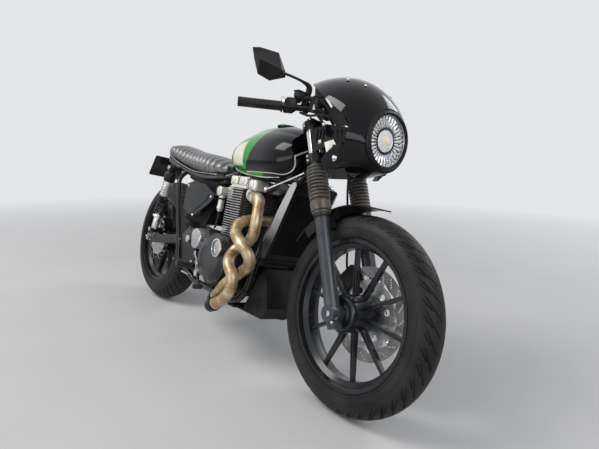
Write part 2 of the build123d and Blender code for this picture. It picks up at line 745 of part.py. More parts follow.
def rear_shocks():
    """Twin shock absorbers, each with its coils seated between two collars."""
    out = []
    for side in (-1, 1):
        body = rod(shock_line(side, 0.03), shock_line(side, 0.5), 17)
        body += rod(shock_line(side, 0.5), shock_line(side, 0.75), 7)
        body += rod(shock_line(side, 0.7), shock_line(side, 0.965), 29)
        body += rod(shock_line(side, 0.16), shock_line(side, 0.2), 28)
        for x, z in (SHOCK_LOW, SHOCK_TOP):
            body += across(SHOCK_EYE_R, x, z, side * SHOCK_HALF - 15, side * SHOCK_HALF + 15)
        low, high = shock_line(side, 0.2), shock_line(side, 0.7)
        run = high - low
        for k in range(COILS):
            at = low + run * ((k + 0.5) / COILS)
            body += rod(at - run * 0.006, at + run * 0.006, COIL_R + COIL_WIRE)
        body -= across(SHOCK_PIN_R, *SHOCK_LOW, side * SHOCK_HALF - 40, side * SHOCK_HALF + 40)
        body -= shock_stud(side)
        out.append(body)
    return out


# Engine

def rounded_box(x, z, half, corner):
    """A block across the machine with rounded upright corners."""
    (x0, x1), (z0, z1) = x, z
    face = Pos((x0 + x1) / 2, 0) * RectangleRounded(x1 - x0, 2 * half, corner)
    return Pos(0, 0, z0) * extrude(face, amount=z1 - z0)


def finned(core_x, core_half, z, grow):
    """A finned block: a core with evenly spaced plates round it."""
    z0, z1 = z
    block = rounded_box(core_x, z, core_half, 14)
    outer_x = (core_x[0] - grow, core_x[1] + grow)
    count = int((z1 - z0) / FIN_PITCH)
    for k in range(count):
        base = z0 + 3 + k * (z1 - z0) / count
        block += rounded_box(outer_x, (base, base + FIN), core_half + grow, 16)
    return block


BARREL_GROW = 18.0
HEAD_GROW = 14.0


def cylinders():
    core = (BARREL_X[0] + BARREL_GROW, BARREL_X[1] - BARREL_GROW)
    return finned(core, BARREL_HALF - BARREL_GROW, (BARREL_BASE, HEAD_BASE), BARREL_GROW)


def cylinder_head():
    """The finned head with two exhaust ports ahead and two intakes behind."""
    x0, x1 = BARREL_X
    core = (x0 + HEAD_GROW, x1 - HEAD_GROW)
    head = finned(core, BARREL_HALF - HEAD_GROW, (HEAD_BASE, HEAD_TOP), HEAD_GROW)
    for side in (-1, 1):
        head += rod((x1 - 20, side * PORT_SIDE, PORT_Z), (x1 + 8, side * PORT_SIDE, PORT_Z),
                    PORT_R)
        head += rod((x0 + 20, side * INTAKE_SIDE, PORT_Z), (x0 - 18, side * INTAKE_SIDE, PORT_Z),
                    PORT_R)
    return head


def cam_cover():
    """The cam cover: a low gasket frame with two round-edged boxes across it."""
    x0, x1 = BARREL_X
    cover = rounded_box((x0 + 8, x1 - 6), (HEAD_TOP, HEAD_TOP + 12), BARREL_HALF - 8, 16)
    for near, far in ((x0 + 12, x0 + 60), (x1 - 58, x1 - 8)):
        block = Pos((near + far) / 2, 0, (HEAD_TOP + COVER_TOP) / 2) * Box(
            far - near, 2 * BARREL_HALF - 22, COVER_TOP - HEAD_TOP)
        cover += fillet(block.edges().filter_by(Axis.Y).group_by(Axis.Z)[-1], 12)
    return cover + Pos((x0 + x1) / 2, 0, HEAD_TOP + 16) * Box(60, 150, 32)


SPROCKET_AT = (600.0, 380.0)
SPROCKET_R = 42.0
COVER_Y = 150.0


def crankcase():
    """The crankcase and gearbox in one block, with the output sprocket on its left."""
    outline = [(560, 275), (644, 224), (840, 224), (905, 262), (918, 360), (880, BARREL_BASE),
               (700, BARREL_BASE), (660, 448), (590, 452), (556, 400)]
    case = side_plate(outline, -CASE_HALF, CASE_HALF, 14)
    case -= side_plate([(500, 290), (500, 470), (668, 470), (668, 290)], CHAIN_Y - 20, 200)
    case += side_plate([(620, 205), (650, 226), (790, 226), (810, 205)], -70, 70, 6)
    case += across(14, *SPROCKET_AT, CHAIN_Y - 30, CHAIN_Y + 4)
    case += across(SPROCKET_R - 2 - RUN_GAP, *SPROCKET_AT, CHAIN_Y - 4, CHAIN_Y + 4)
    for side in (-1, 1):
        for x in SADDLE_X:
            case += Pos(x, side * CRADLE_HALF, CRADLE_Z + TUBE_R + 3) * Box(44, 24, 24)
        case -= cradle(side, TUBE_R)
    return case


def clutch_cover():
    """The right-hand cover: a domed round with a smaller cap and a rear lobe."""
    cx, cz = CLUTCH_AT
    cover = across(CLUTCH_R, cx, cz, -CLUTCH_OUT + 26, -CASE_HALF)
    cover += across(44, cx + 62, cz + 58, -CLUTCH_OUT + 26, -CASE_HALF)
    cover += across(52, cx - 92, cz + 20, -CLUTCH_OUT + 40, -CASE_HALF)
    cover += Plane(origin=(cx, -CLUTCH_OUT + 26, cz), z_dir=(0, -1, 0)) * Cone(
        CLUTCH_R, CLUTCH_R - 22, 26, align=(Align.CENTER, Align.CENTER, Align.MIN))
    cap = (cx + 66, cz + 52)
    cover += across(36, *cap, -CLUTCH_OUT - 8, -CASE_HALF)
    cover -= across(28, *cap, -CLUTCH_OUT - 12, -CLUTCH_OUT - 4)
    return cover - barrel_room()


def barrel_room():
    """The space under the lowest fins, which trims the side covers."""
    x0, x1 = BARREL_X
    return Pos((x0 + x1) / 2, 0, BARREL_BASE + 50) * Box(x1 - x0 + 4, 2 * BARREL_HALF + 4, 100)


def alternator_cover():
    """The left-hand cover, with the cover of the output sprocket behind it."""
    cx, cz = CLUTCH_AT
    cover = across(88, cx + 30, cz - 8, CASE_HALF, 164)
    cover += side_plate([(cx - 175, 316), (cx - 175, cz + 80), (cx - 60, cz + 90), (cx, cz - 60)],
                        COVER_Y - 12, COVER_Y, 20)
    cover += side_plate([(cx - 92, 316), (cx - 92, cz + 60), (cx - 20, cz + 60), (cx - 20, 316)],
                        CASE_HALF, COVER_Y)
    cover += across(60, cx + 30, cz - 8, 160, 174)
    return cover - barrel_room()


def drive_chain():
    """The chain as one loop round both sprockets."""
    fx, fz = SPROCKET_AT
    rear = REAR_SPROCKET[0] + 1.5
    front = SPROCKET_R - 2
    loops = []
    for grow in (11.0, 0.0):
        loops.append(make_hull([*(Pos(0, REAR_RADIUS) * Circle(rear + grow)).edges(),
                                *(Pos(fx, fz) * Circle(front + grow)).edges()]))
    plane = Plane(origin=(0, CHAIN_Y + 7, 0), x_dir=(1, 0, 0), z_dir=(0, -1, 0))
    return extrude(plane * (loops[0] - loops[1]), amount=14, dir=(0, -1, 0))


def throttle_bodies():
    out = []
    for side in (-1, 1):
        y = side * INTAKE_SIDE
        body = rod((BARREL_X[0] - 18, y, PORT_Z), (BOX_FRONT, y, PORT_Z), 25)
        body += rod((690, y, PORT_Z), (660, y, PORT_Z), 34)
        body += rod((672, side * 60, PORT_Z), (672, side * 132, PORT_Z), 20)
        body += rod((672, side * 118, PORT_Z), (672, side * 118, PORT_Z - 62), 13)
        out.append(body)
    return out


AIRBOX_HALF = 112.0
SIDE_COVER_Y = (138.0, 153.0)


def airbox():
    outline = [(372, 470), (372, 640), (440, 662), (600, 662), (BOX_FRONT, 650),
               (BOX_FRONT, 560), (560, 470)]
    return side_plate(outline, -AIRBOX_HALF, AIRBOX_HALF, 10)


def side_covers():
    """Two pointed side covers, each on a boss that stands on the airbox."""
    out = []
    near_y, far_y = SIDE_COVER_Y
    for side in (-1, 1):
        low, high = sorted((side * near_y, side * far_y))
        plate = side_plate([(392, 520), (392, 636), (450, 652), (560, 648), (676, 606),
                            (640, 570), (500, 492)], low, high, 14)
        plate += across(12, 480, 590, *sorted((side * AIRBOX_HALF, side * near_y)))
        out.append(plate)
    return out


# Exhaust

PIPE_RIGHT = [(BARREL_X[1] + 8, -PORT_SIDE, PORT_Z), (914, -PORT_SIDE, PORT_Z),
              (952, -110, 540), (950, -112, 462), (884, -146, 408), (928, -189, 364),
              (990, -190, 320), (980, -188, 262), (935, -184, 222), (893, -182, 200)]
PIPE_LEFT = [(BARREL_X[1] + 8, PORT_SIDE, PORT_Z), (914, PORT_SIDE, PORT_Z), (912, 66, 556),
             (892, 0, 540), (887, -98, 536), (894, -152, 516), (915, -172, 478),
             (985, -182, 448), (1036, -166, 412), (1000, -136, 368), (940, -138, 326),
             (906, -158, 290), (868, -158, 248), (828, -148, 216)]


def header_pipes():
    """Two twisted headers, each with its short turned-down collar."""
    out = []
    for points in (PIPE_RIGHT, PIPE_LEFT):
        before, end = Vector(*points[-2]), Vector(*points[-1])
        run = (end - before).normalized()
        pipe = tube(points, PIPE_R)
        pipe += rod(end - run * 4, end + run * 52, PIPE_R + 3)
        pipe -= rod(end + run * 8, end + run * 53, PIPE_R)
        out.append(pipe)
    return out


RADIATOR_TOP = (1139.0, 690.0)
RADIATOR_LOW = (1026.0, 399.0)
RADIATOR_HALF = 100.0
RADIATOR_DEEP = 26.0


def radiator():
    """The radiator with its two tanks and four lugs on the down tubes."""
    (tx, tz), (lx, lz) = RADIATOR_TOP, RADIATOR_LOW
    height = math.hypot(tx - lx, tz - lz)
    up = Vector(tx - lx, 0, tz - lz).normalized()
    front = Vector(up.Z, 0, -up.X)
    plane = Plane(origin=((tx + lx) / 2, 0, (tz + lz) / 2), x_dir=(0, 1, 0), z_dir=front)
    deep = RADIATOR_DEEP
    body = Pos(0, 0, -deep / 2) * Box(2 * RADIATOR_HALF, height, deep)
    body -= Box(2 * RADIATOR_HALF - 32, height - 60, 12)
    for end in (-1, 1):
        body += Pos(0, end * (height / 2 + 4), -deep / 2) * Box(2 * RADIATOR_HALF - 16, 22, deep + 8)
    body = plane * body
    for side in (-1, 1):
        for x, y, z in ((1078, 66, 650), (1000, 90, 450)):
            body += rod((x + 34, side * y, z - 4), (x - 12, side * y, z), 8)
        body -= cradle(side, TUBE_R)
    return body


def skid_plate():
    """The guard under the radiator and the front of the engine."""
    outline = [(1092, 232), (1046, 372), (1040, 370), (1084, 236), (1060, 194), (858, 188),
               (858, 182), (1064, 186)]
    plate = side_plate(outline, -88, 88)
    for side in (-1, 1):
        low, high = sorted((side * 84, side * 88))
        plate += side_plate([(1084, 236), (1040, 370), (1000, 330), (940, 193), (1060, 194)],
                            low, high)
    strap = CRADLE_HALF + 10
    plate += side_plate([(850, 182), (900, 184), (900, 192), (850, 192)], -strap, strap)
    for side in (-1, 1):
        plate -= cradle(side, TUBE_R)
    return plate


# Tank, seat and tail

TUNNEL_HALF = 34.0
TANK_POST_R = 11.0
TANK_POSTS = [(1000, 793), (720, 742)]
TANK_SECTIONS = [
    # x, floor, top, floor half, widest half, height of it, shoulder half, corner
    (606, 764, 804, 36, 52, 784, 34, 8),
    (640, 748, 850, 56, 88, 788, 48, 12),
    (700, 728, 894, 74, 112, 792, 62, 14),
    (800, 714, 924, 92, 124, 800, 74, 18),
    (940, 708, 930, 100, TANK_HALF, 800, 84, 20),
    (1045, 718, 914, 90, 126, 806, 74, 18),
    (1096, 756, 896, 66, 96, 820, 56, 12),
    (1118, 790, 884, 46, 70, 832, 40, 8),
]
CAP_AT = (896.0, 928.0)


def fork_sweep():
    """The space round the steering axis that the fork needs from lock to lock."""
    grow = LOCK_GAP
    yoke_face = make_hull([*Circle(34 + grow).edges(),
                           *(Pos(FORK_AHEAD, FORK_HALF) * Circle(GAITER_R + grow)).edges(),
                           *(Pos(FORK_AHEAD, -FORK_HALF) * Circle(GAITER_R + grow)).edges()])
    face = Circle(HEAD_TUBE_R + 12)
    for k in range(-2, 3):
        face += Rot(0, 0, k * STEER_LOCK / 2) * yoke_face
    return STEER_PLANE * (Pos(0, 0, 700) * extrude(face, amount=320))


def fuel_tank():
    """The tank over the backbone, with its filler cap, trimmed where the fork swings."""
    tank = loft([section(*s) for s in TANK_SECTIONS])
    tank -= side_plate([(600, 700), (600, 778), (1130, 866), (1130, 700)],
                       -TUNNEL_HALF, TUNNEL_HALF)
    tank -= fork_sweep()
    for side in (-1, 1):
        tank -= cradle(side, TUBE_R + 4)
    x, z = CAP_AT
    return tank + Pos(x, 0, z) * Cylinder(36, 14)


SEAT_SECTIONS = [
    # x, floor, top, floor half, widest half, height of it, shoulder half, corner
    (-92, 792, 826, 40, 58, 808, 36, 6),
    (-40, 780, 842, 78, 96, 806, 64, 12),
    (120, 737, 826, 92, 112, 776, 82, 14),
    (330, 700, 802, 96, 118, 750, 86, 14),
    (520, 696, 778, 92, 112, 738, 82, 14),
    (600, 700, 760, 60, 82, 738, 58, 10),
]
PAN = 8.0
PAN_FRONT = (612, 684.4)
PAN_BACK = (60, 738)


def seat():
    return loft([section(*s) for s in SEAT_SECTIONS]) - pan_plate(PAN)


def pan_plate(deep):
    """A plate along the top of the seat rails."""
    line = [(x, z + RAIL_R - 1) for x, z in [PAN_FRONT] + RAIL_LINE[1:-1] + [PAN_BACK]]
    outline = line + [(x, z + deep + 1) for x, z in reversed(line)]
    return side_plate(outline, -SEAT_RAIL_HALF - 4, SEAT_RAIL_HALF + 4)


def seat_base():
    """The pan between the seat and the rails."""
    pan = pan_plate(PAN)
    for side in (-1, 1):
        pan -= seat_rails(side, RAIL_R)
    return pan - across(RAIL_R, *TAIL_TUBE, -SEAT_RAIL_HALF - 10, SEAT_RAIL_HALF + 10)


HANGER = [(TAIL_TUBE[0], 0, TAIL_TUBE[1]), (-60, 0, 752), (-140, 0, 772), (-178, 0, 774), (-200, 0, 751)]
PLATE_AT = Plane(origin=(-228, 0, 712), x_dir=(0, 1, 0), z_dir=(-0.865, 0, 0.5))


def plate_hanger():
    """The tail's stay, with a small lamp under the seat and the number plate's bracket."""
    stay = tube(HANGER, 8)
    lamp = Pos(-118, 0, 779) * Box(24, 90, 24)
    stay += fillet(lamp.edges().filter_by(Axis.Z), 6)
    stay += PLATE_AT * (Pos(0, -44, -5) * Box(110, 34, 10))
    stay -= PLATE_AT * (Pos(0, 0, 10) * Box(200, 160, 20))
    return stay - across(RAIL_R, *TAIL_TUBE, -SEAT_RAIL_HALF, SEAT_RAIL_HALF)


def number_plate():
    return PLATE_AT * extrude(RectangleRounded(190, 130, 8), amount=3)


REST_Y = PIVOT_HALF + PLATE


def foot_controls():
    """Footrests on their plates, the brake pedal on the right and the shift lever on the left."""
    out = []
    for side, tip in ((-1, 206.0), (1, 196.0)):
        near, far = sorted((side * REST_Y, side * (REST_Y + 6)))
        body = side_plate([(526, 292), (556, 306), (640, 304), (650, 262), (600, 246)],
                          near, far, 8)
        body += rod((628, side * REST_Y, 286), (606, side * 240, 292), 12)
        body += tube([(634, side * (REST_Y + 10), 258), (700, side * (tip - 36), 232),
                      (788, side * tip, 236)], 6)
        body += rod((634, side * REST_Y, 258), (634, side * (REST_Y + 18), 258), 9)
        body += rod((788, side * (tip - 6), 236), (788, side * (tip + 32), 236), 8)
        out.append(body)
    return out


# Side stand

STAND_PIVOT = Vector(600, 118, 214)
STAND_FOOT = (662.0, 338.0)
STAND_FOLDED = Vector(-0.99, 0.12, 0.05)
STAND_PIN_R = 6.0
STAND_HEAD_R = 14.0
STAND_HEAD = 15.0


def lift(section_r):
    """How far a round tyre rises as the machine leans over it."""
    return section_r * (1 - math.cos(math.radians(LEAN)))


def lean_pitch():
    """How far the nose drops because the front tyre is the slimmer one, in degrees."""
    return math.degrees(math.atan2(lift(REAR_SECTION) - lift(FRONT_SECTION), WHEELBASE))


def leaned():
    """From the upright machine to the machine that rests on its side stand."""
    return Location((0, 0, lift(REAR_SECTION))) * Rot(0, lean_pitch(), 0) * Rot(-LEAN, 0, 0)


def stand_foot():
    """The point under the stand's foot that meets the floor, in the upright frame."""
    x, y = STAND_FOOT
    here = leaned() * Pos(x, y, 0)
    there = leaned() * Pos(x, y, 100)
    share = here.position.Z / (here.position.Z - there.position.Z)
    return Vector(x, y, 100 * share)


def floor_up():
    """The floor's upward direction, in the upright frame."""
    turn = leaned().inverse()
    return (turn * Pos(0, 0, 1)).position - turn.position


def stand_axis():
    """The stand's hinge line, square to its deployed and folded directions."""
    deployed = (stand_foot() - STAND_PIVOT).normalized()
    return deployed.cross(STAND_FOLDED).normalized()


def stand_lug():
    """The frame's lug and pin for the side stand."""
    axis = stand_axis()
    lug = rod(STAND_PIVOT - axis * 26, STAND_PIVOT - axis * RUN_GAP, 13)
    lug += rod(STAND_PIVOT - axis * 10, STAND_PIVOT + axis * (STAND_HEAD + RUN_GAP + 1),
               STAND_PIN_R)
    return lug + rod(STAND_PIVOT + axis * (STAND_HEAD + RUN_GAP),
                     STAND_PIVOT + axis * (STAND_HEAD + 5), 10)


def side_stand():
    foot = stand_foot()
    axis = stand_axis()
    head = STAND_PIVOT + axis * STAND_HEAD / 2
    stand = rod(STAND_PIVOT, STAND_PIVOT + axis * STAND_HEAD, STAND_HEAD_R)
    out = (foot - head).normalized()
    stand += tube([head + out * 4, head + out * 90 + Vector(6, 0, 3), foot + floor_up() * 5], 7)
    sole = Plane(origin=foot, x_dir=(1, 0, 0), z_dir=floor_up())
    stand += sole * extrude(SlotOverall(70, 40), amount=7)
    stand -= rod(STAND_PIVOT - axis * 20, STAND_PIVOT + axis * 40, STAND_PIN_R + FIT)
    return stand


CHASSIS = {
    "main_frame": main_frame, "swingarm": swingarm, "rear_axle": rear_axle,
    "rear_shocks": rear_shocks, "crankcase": crankcase, "cylinders": cylinders,
    "cylinder_head": cylinder_head, "cam_cover": cam_cover, "clutch_cover": clutch_cover,
    "alternator_cover": alternator_cover, "drive_chain": drive_chain,
    "throttle_bodies": throttle_bodies, "airbox": airbox, "side_covers": side_covers,
    "header_pipes": header_pipes, "radiator": radiator, "skid_plate": skid_plate,
    "fuel_tank": fuel_tank, "seat": seat, "seat_base": seat_base,
    "plate_hanger": plate_hanger, "number_plate": number_plate,
    "foot_controls": foot_controls, "rear_caliper": rear_caliper,
}
STEERING = {
    "fork_legs": fork_legs, "stanchions": stanchions, "fork_gaiters": gaiters, "yokes": yokes,
    "front_axle": front_axle, "front_fender": front_fender, "front_caliper": front_caliper,
    "handlebar": handlebar, "grips": grips, "hand_controls": hand_controls,
    "mirrors": mirrors, "fairing": fairing, "headlamp": headlamp, "lamp_lens": lamp_lens,
    "lamp_brackets": lamp_brackets, "instrument": instrument, "brake_hose": brake_hose,
}
FRONT = {"front_wheel": front_wheel, "front_tyre": front_tyre, "front_disc": front_disc}
REAR = {"rear_wheel": rear_wheel, "rear_tyre": rear_tyre, "rear_disc": rear_disc,
        "rear_sprocket": rear_sprocket}
STAND = {"side_stand": side_stand}
NODES = {**CHASSIS, **STEERING, **FRONT, **REAR, **STAND}


def build_all():
    """Every node, leaned on the stand, with the origin under the middle of the whole."""
    made = {}
    for name, build in NODES.items():
        piece = build()
        made[name] = leaned() * (Compound(piece) if isinstance(piece, list) else piece)
    box = Compound(list(made.values())).bounding_box()
    shift = Pos(-(box.min.X + box.max.X) / 2, -(box.min.Y + box.max.Y) / 2, -box.min.Z)
    return {name: shift * piece for name, piece in made.items()}, shift


if __name__ == "__main__":
    os.makedirs("parts", exist_ok=True)
    nodes, _ = build_all()
    for name, piece in nodes.items():
        export_step(piece, f"parts/{name}.step")
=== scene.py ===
import math

import bmesh
import bpy
from mathutils import Matrix, Vector
from mathutils.bvhtree import BVHTree


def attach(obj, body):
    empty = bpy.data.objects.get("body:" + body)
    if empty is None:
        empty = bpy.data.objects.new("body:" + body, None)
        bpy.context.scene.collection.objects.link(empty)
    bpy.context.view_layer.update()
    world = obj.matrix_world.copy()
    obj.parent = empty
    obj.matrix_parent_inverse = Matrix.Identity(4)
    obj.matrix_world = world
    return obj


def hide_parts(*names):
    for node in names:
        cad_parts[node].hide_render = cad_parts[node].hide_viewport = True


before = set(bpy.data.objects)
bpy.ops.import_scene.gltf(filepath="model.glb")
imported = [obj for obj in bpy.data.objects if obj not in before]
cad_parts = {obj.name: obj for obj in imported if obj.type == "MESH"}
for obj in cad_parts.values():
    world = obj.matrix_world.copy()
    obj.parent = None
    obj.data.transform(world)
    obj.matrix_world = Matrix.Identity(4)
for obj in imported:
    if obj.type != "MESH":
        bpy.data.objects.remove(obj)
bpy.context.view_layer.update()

# The machine's own frame, as in the part's source: millimetres, upright, X forward from the
# rear axle, Y to the left, Z up. TO_ROW leans it and moves it into the row frame, in metres.
WHEELBASE = 1439.0
FRONT_AXLE = Vector((WHEELBASE, 0, 318))
REAR_AXLE = Vector((0, 0, 320))
FRONT_ROUND = 55.0
REAR_ROUND = 75.0
LEAN = math.radians(12.0)
LIFT = REAR_ROUND * (1 - math.cos(LEAN))
PITCH = math.atan2((REAR_ROUND - FRONT_ROUND) * (1 - math.cos(LEAN)), WHEELBASE)
SHIFT = Vector((-718.595, -184.154, 0.0))
TO_ROW = (Matrix.Scale(0.001, 4) @ Matrix.Translation(SHIFT + Vector((0, 0, LIFT)))
          @ Matrix.Rotation(PITCH, 4, "Y") @ Matrix.Rotation(-LEAN, 4, "X"))

# The steering's own directions, from a point on its axis at the height of the floor
RAKE = math.radians(25.1)
ALONG = Vector((-math.sin(RAKE), 0, math.cos(RAKE)))
AHEAD = Vector((math.cos(RAKE), 0, math.sin(RAKE)))
SIDE = Vector((0, 1, 0))
STEER_FOOT = Vector((1541.4, 0, 0))
STEER_TURN = Matrix.Translation(STEER_FOOT) @ Matrix((AHEAD, SIDE, ALONG)).transposed().to_4x4()
FORK_AHEAD = 42.2
FORK_HALF = 100.0

BAR_INNER = (1168, 112, 961)
BAR_OUTER = (1049, 332, 931)
SHOCK_LOW = (90, 372)
SHOCK_TOP = (185, 700)
SHOCK_HALF = 148.0
PORT_Z = 628.0
FRONT_DISC_Y = 60
REAR_DISC_Y = -74


def steer(along, side, ahead):
    """A point from its distances along the steering axis, to the left and ahead of it."""
    return STEER_FOOT + ALONG * along + SIDE * side + AHEAD * ahead


# Camera at the photograph's place

def set_camera():
    """Where a camera fitted to the photograph stands."""
    yaw, pitch, roll = (math.radians(a) for a in (141.43, 9.14, 1.41))
    forward = Vector((math.cos(pitch) * math.cos(yaw), math.cos(pitch) * math.sin(yaw),
                      -math.sin(pitch)))
    level = Vector((math.sin(yaw), -math.cos(yaw), 0))
    above = level.cross(forward)
    right = level * math.cos(roll) + above * math.sin(roll)
    up = above * math.cos(roll) - level * math.sin(roll)
    data = bpy.data.cameras.new("camera")
    data.sensor_width = 36.0
    data.sensor_fit = "HORIZONTAL"
    data.lens = 465.4 / 599 * 36
    data.clip_start = 0.05
    cam = bpy.data.objects.new("camera", data)
    place = (Vector((2438, -968, 826)) + SHIFT) * 0.001
    turn = Matrix((right, up, -forward)).transposed().to_4x4()
    cam.matrix_world = Matrix.Translation(place) @ turn
    bpy.context.scene.collection.objects.link(cam)
    bpy.context.scene.camera = cam


# Light and floor

def lamp(name, place, aim, size, power, colour=(1, 1, 1)):
    """A soft rectangular light, aimed at a point."""
    data = bpy.data.lights.new(name, "AREA")
    data.shape = "RECTANGLE"
    data.size, data.size_y = size
    data.energy = power
    data.color = colour
    obj = bpy.data.objects.new(name, data)
    place, aim = Vector(place), Vector(aim)
    obj.matrix_world = (Matrix.Translation(place)
                        @ (aim - place).to_track_quat("-Z", "Y").to_matrix().to_4x4())
    bpy.context.scene.collection.objects.link(obj)


BACKDROP = (0.78, 0.79, 0.81)
FILL = 0.38


def set_stage():
    """A pale world and a pale floor that fades into it far from the machine."""
    bpy.context.scene.view_settings.view_transform = "Standard"
    world = bpy.data.worlds.new("studio")
    bpy.context.scene.world = world
    world.use_nodes = True
    tree = world.node_tree
    back = tree.nodes["Background"]
    back.inputs["Color"].default_value = (*BACKDROP, 1)
    path = tree.nodes.new("ShaderNodeLightPath")
    seen = path.outputs["Is Camera Ray"]
    for ray in ("Is Glossy Ray", "Is Transmission Ray"):
        either = tree.nodes.new("ShaderNodeMath")
        either.operation = "MAXIMUM"
        tree.links.new(seen, either.inputs[0])
        tree.links.new(path.outputs[ray], either.inputs[1])
        seen = either.outputs[0]
    strength = tree.nodes.new("ShaderNodeMath")
    strength.operation = "MULTIPLY_ADD"
    strength.inputs[1].default_value = 1 - FILL
    strength.inputs[2].default_value = FILL
    tree.links.new(seen, strength.inputs[0])
    tree.links.new(strength.outputs[0], back.inputs["Strength"])

    mesh = bpy.data.meshes.new("floor")
    reach = 40.0
    mesh.from_pydata([(-reach, -reach, 0), (reach, -reach, 0), (reach, reach, 0),
                      (-reach, reach, 0)], [], [(0, 1, 2, 3)])
    floor = bpy.data.objects.new("floor", mesh)
    bpy.context.scene.collection.objects.link(floor)
    mesh.materials.append(floor_paint())

    lamp("key", (-1.4, -3.0, 4.4), (0, 0, 0.5), (2.6, 2.2), 150, (1, 0.98, 0.95))
    lamp("front", (4.2, -0.6, 2.6), (0.3, 0, 0.5), (2.4, 2.4), 50)
    lamp("rear", (1.0, 4.4, 3.4), (0, 0, 0.6), (3.0, 2.2), 70, (0.94, 0.97, 1))
    lamp("low", (0.6, -3.8, 0.9), (0.1, 0, 0.35), (3.6, 1.0), 32, (0.95, 0.97, 1))


def floor_paint():
    """Pale concrete near the machine, and the backdrop's own colour further off."""
    mat = surface("floor_pale", (0.60, 0.60, 0.61), 0.85)
    nodes, links = nodes_of(mat)
    drift = noise_of(mat, 3.0)
    plug(mat, mix_colour(mat, drift, (0.58, 0.58, 0.585), (0.63, 0.63, 0.635)), "Base Color")
    far = nodes.new("ShaderNodeVectorMath")
    far.operation = "LENGTH"
    links.new(row_coords(mat), far.inputs[0])
    path = nodes.new("ShaderNodeLightPath")
    share = nodes.new("ShaderNodeMath")
    share.operation = "MULTIPLY"
    links.new(remap(mat, far.outputs["Value"], 1.8, 6.0, 0, 1), share.inputs[0])
    links.new(path.outputs["Is Camera Ray"], share.inputs[1])
    glow = nodes.new("ShaderNodeEmission")
    glow.inputs["Color"].default_value = (*BACKDROP, 1)
    mixed = nodes.new("ShaderNodeMixShader")
    links.new(share.outputs[0], mixed.inputs[0])
    links.new(nodes["Principled BSDF"].outputs[0], mixed.inputs[1])
    links.new(glow.outputs[0], mixed.inputs[2])
    links.new(mixed.outputs[0], nodes["Material Output"].inputs["Surface"])
    return mat


# Materials

def nodes_of(mat):
    """A material's nodes and the links between them."""
    return mat.node_tree.nodes, mat.node_tree.links


def surface(name, colour, rough, metal=0.0, sockets=None):
    """A principled material; sockets gives more of its inputs by name."""
    mat = bpy.data.materials.new(name)
    mat.use_nodes = True
    shader = mat.node_tree.nodes["Principled BSDF"]
    shader.inputs["Base Color"].default_value = (*colour, 1)
    shader.inputs["Roughness"].default_value = rough
    shader.inputs["Metallic"].default_value = metal
    for key, value in (sockets or {}).items():
        shader.inputs[key].default_value = value
    return mat


def row_coords(mat):
    """Where a surface point is in the row frame: every piece's own origin lies there."""
    nodes, _ = nodes_of(mat)
    found = nodes.get("place")
    if found is None:
        found = nodes.new("ShaderNodeTexCoord")
        found.name = "place"
    return found.outputs["Object"]


def noise_of(mat, scale, detail=4.0, stretch=None):
    """Noise in the row frame, squeezed along an axis by stretch."""
    nodes, links = nodes_of(mat)
    tex = nodes.new("ShaderNodeTexNoise")
    tex.inputs["Scale"].default_value = scale
    tex.inputs["Detail"].default_value = detail
    tex.inputs["Roughness"].default_value = 0.55
    source = row_coords(mat)
    if stretch:
        mapping = nodes.new("ShaderNodeMapping")
        mapping.inputs["Scale"].default_value = stretch
        links.new(source, mapping.inputs["Vector"])
        source = mapping.outputs[0]
    links.new(source, tex.inputs["Vector"])
    return tex.outputs["Fac"]


def remap(mat, value, low, high, out_low, out_high):
    """The value taken from one range to another, and kept inside it."""
    nodes, links = nodes_of(mat)
    node = nodes.new("ShaderNodeMapRange")
    node.inputs["From Min"].default_value = low
    node.inputs["From Max"].default_value = high
    node.inputs["To Min"].default_value = out_low
    node.inputs["To Max"].default_value = out_high
    links.new(value, node.inputs["Value"])
    return node.outputs[0]


def mix_colour(mat, share, first, second):
    """Two colours, or sockets of colours, mixed by share."""
    nodes, links = nodes_of(mat)
    node = nodes.new("ShaderNodeMix")
    node.data_type = "RGBA"
    links.new(share, node.inputs[0])
    for colour, place in ((first, 6), (second, 7)):
        if hasattr(colour, "is_linked"):
            links.new(colour, node.inputs[place])
        else:
            node.inputs[place].default_value = (*colour, 1)
    return node.outputs[2]


def plug(mat, value, socket):
    """Link a value to one of the shader's inputs."""
    _, links = nodes_of(mat)
    links.new(value, mat.node_tree.nodes["Principled BSDF"].inputs[socket])


def dust_and_light_tint(mat, first, second, scale, rough_low, rough_high):
    """Colour and roughness that drift over the surface, as dust and handling leave it; in the
    wheels', sliders' and gaiters' rows the colours also hold painted light.
    """
    drift = noise_of(mat, scale)
    plug(mat, mix_colour(mat, remap(mat, drift, 0.35, 0.65, 0, 1), first, second), "Base Color")
    plug(mat, remap(mat, drift, 0.35, 0.65, rough_low, rough_high), "Roughness")
    return mat


def drift_of(mat, scale):
    """Slow noise, stretched to the full range from 0 to 1."""
    return remap(mat, noise_of(mat, scale), 0.35, 0.65, 0, 1)


def grain(mat, scale, strength, depth=0.001, kind="noise", stretch=None):
    """Fine relief: noise for castings and leather, cells for wrinkle paint."""
    nodes, links = nodes_of(mat)
    if kind == "noise":
        height = noise_of(mat, scale, 3.0, stretch=stretch)
    else:
        tex = nodes.new("ShaderNodeTexVoronoi")
        tex.inputs["Scale"].default_value = scale
        links.new(row_coords(mat), tex.inputs["Vector"])
        height = tex.outputs["Distance"]
    bump = nodes.new("ShaderNodeBump")
    bump.inputs["Strength"].default_value = strength
    bump.inputs["Distance"].default_value = depth
    links.new(height, bump.inputs["Height"])
    shader = mat.node_tree.nodes["Principled BSDF"]
    if shader.inputs["Normal"].is_linked:
        links.new(shader.inputs["Normal"].links[0].from_socket, bump.inputs["Normal"])
    plug(mat, bump.outputs[0], "Normal")
    return mat


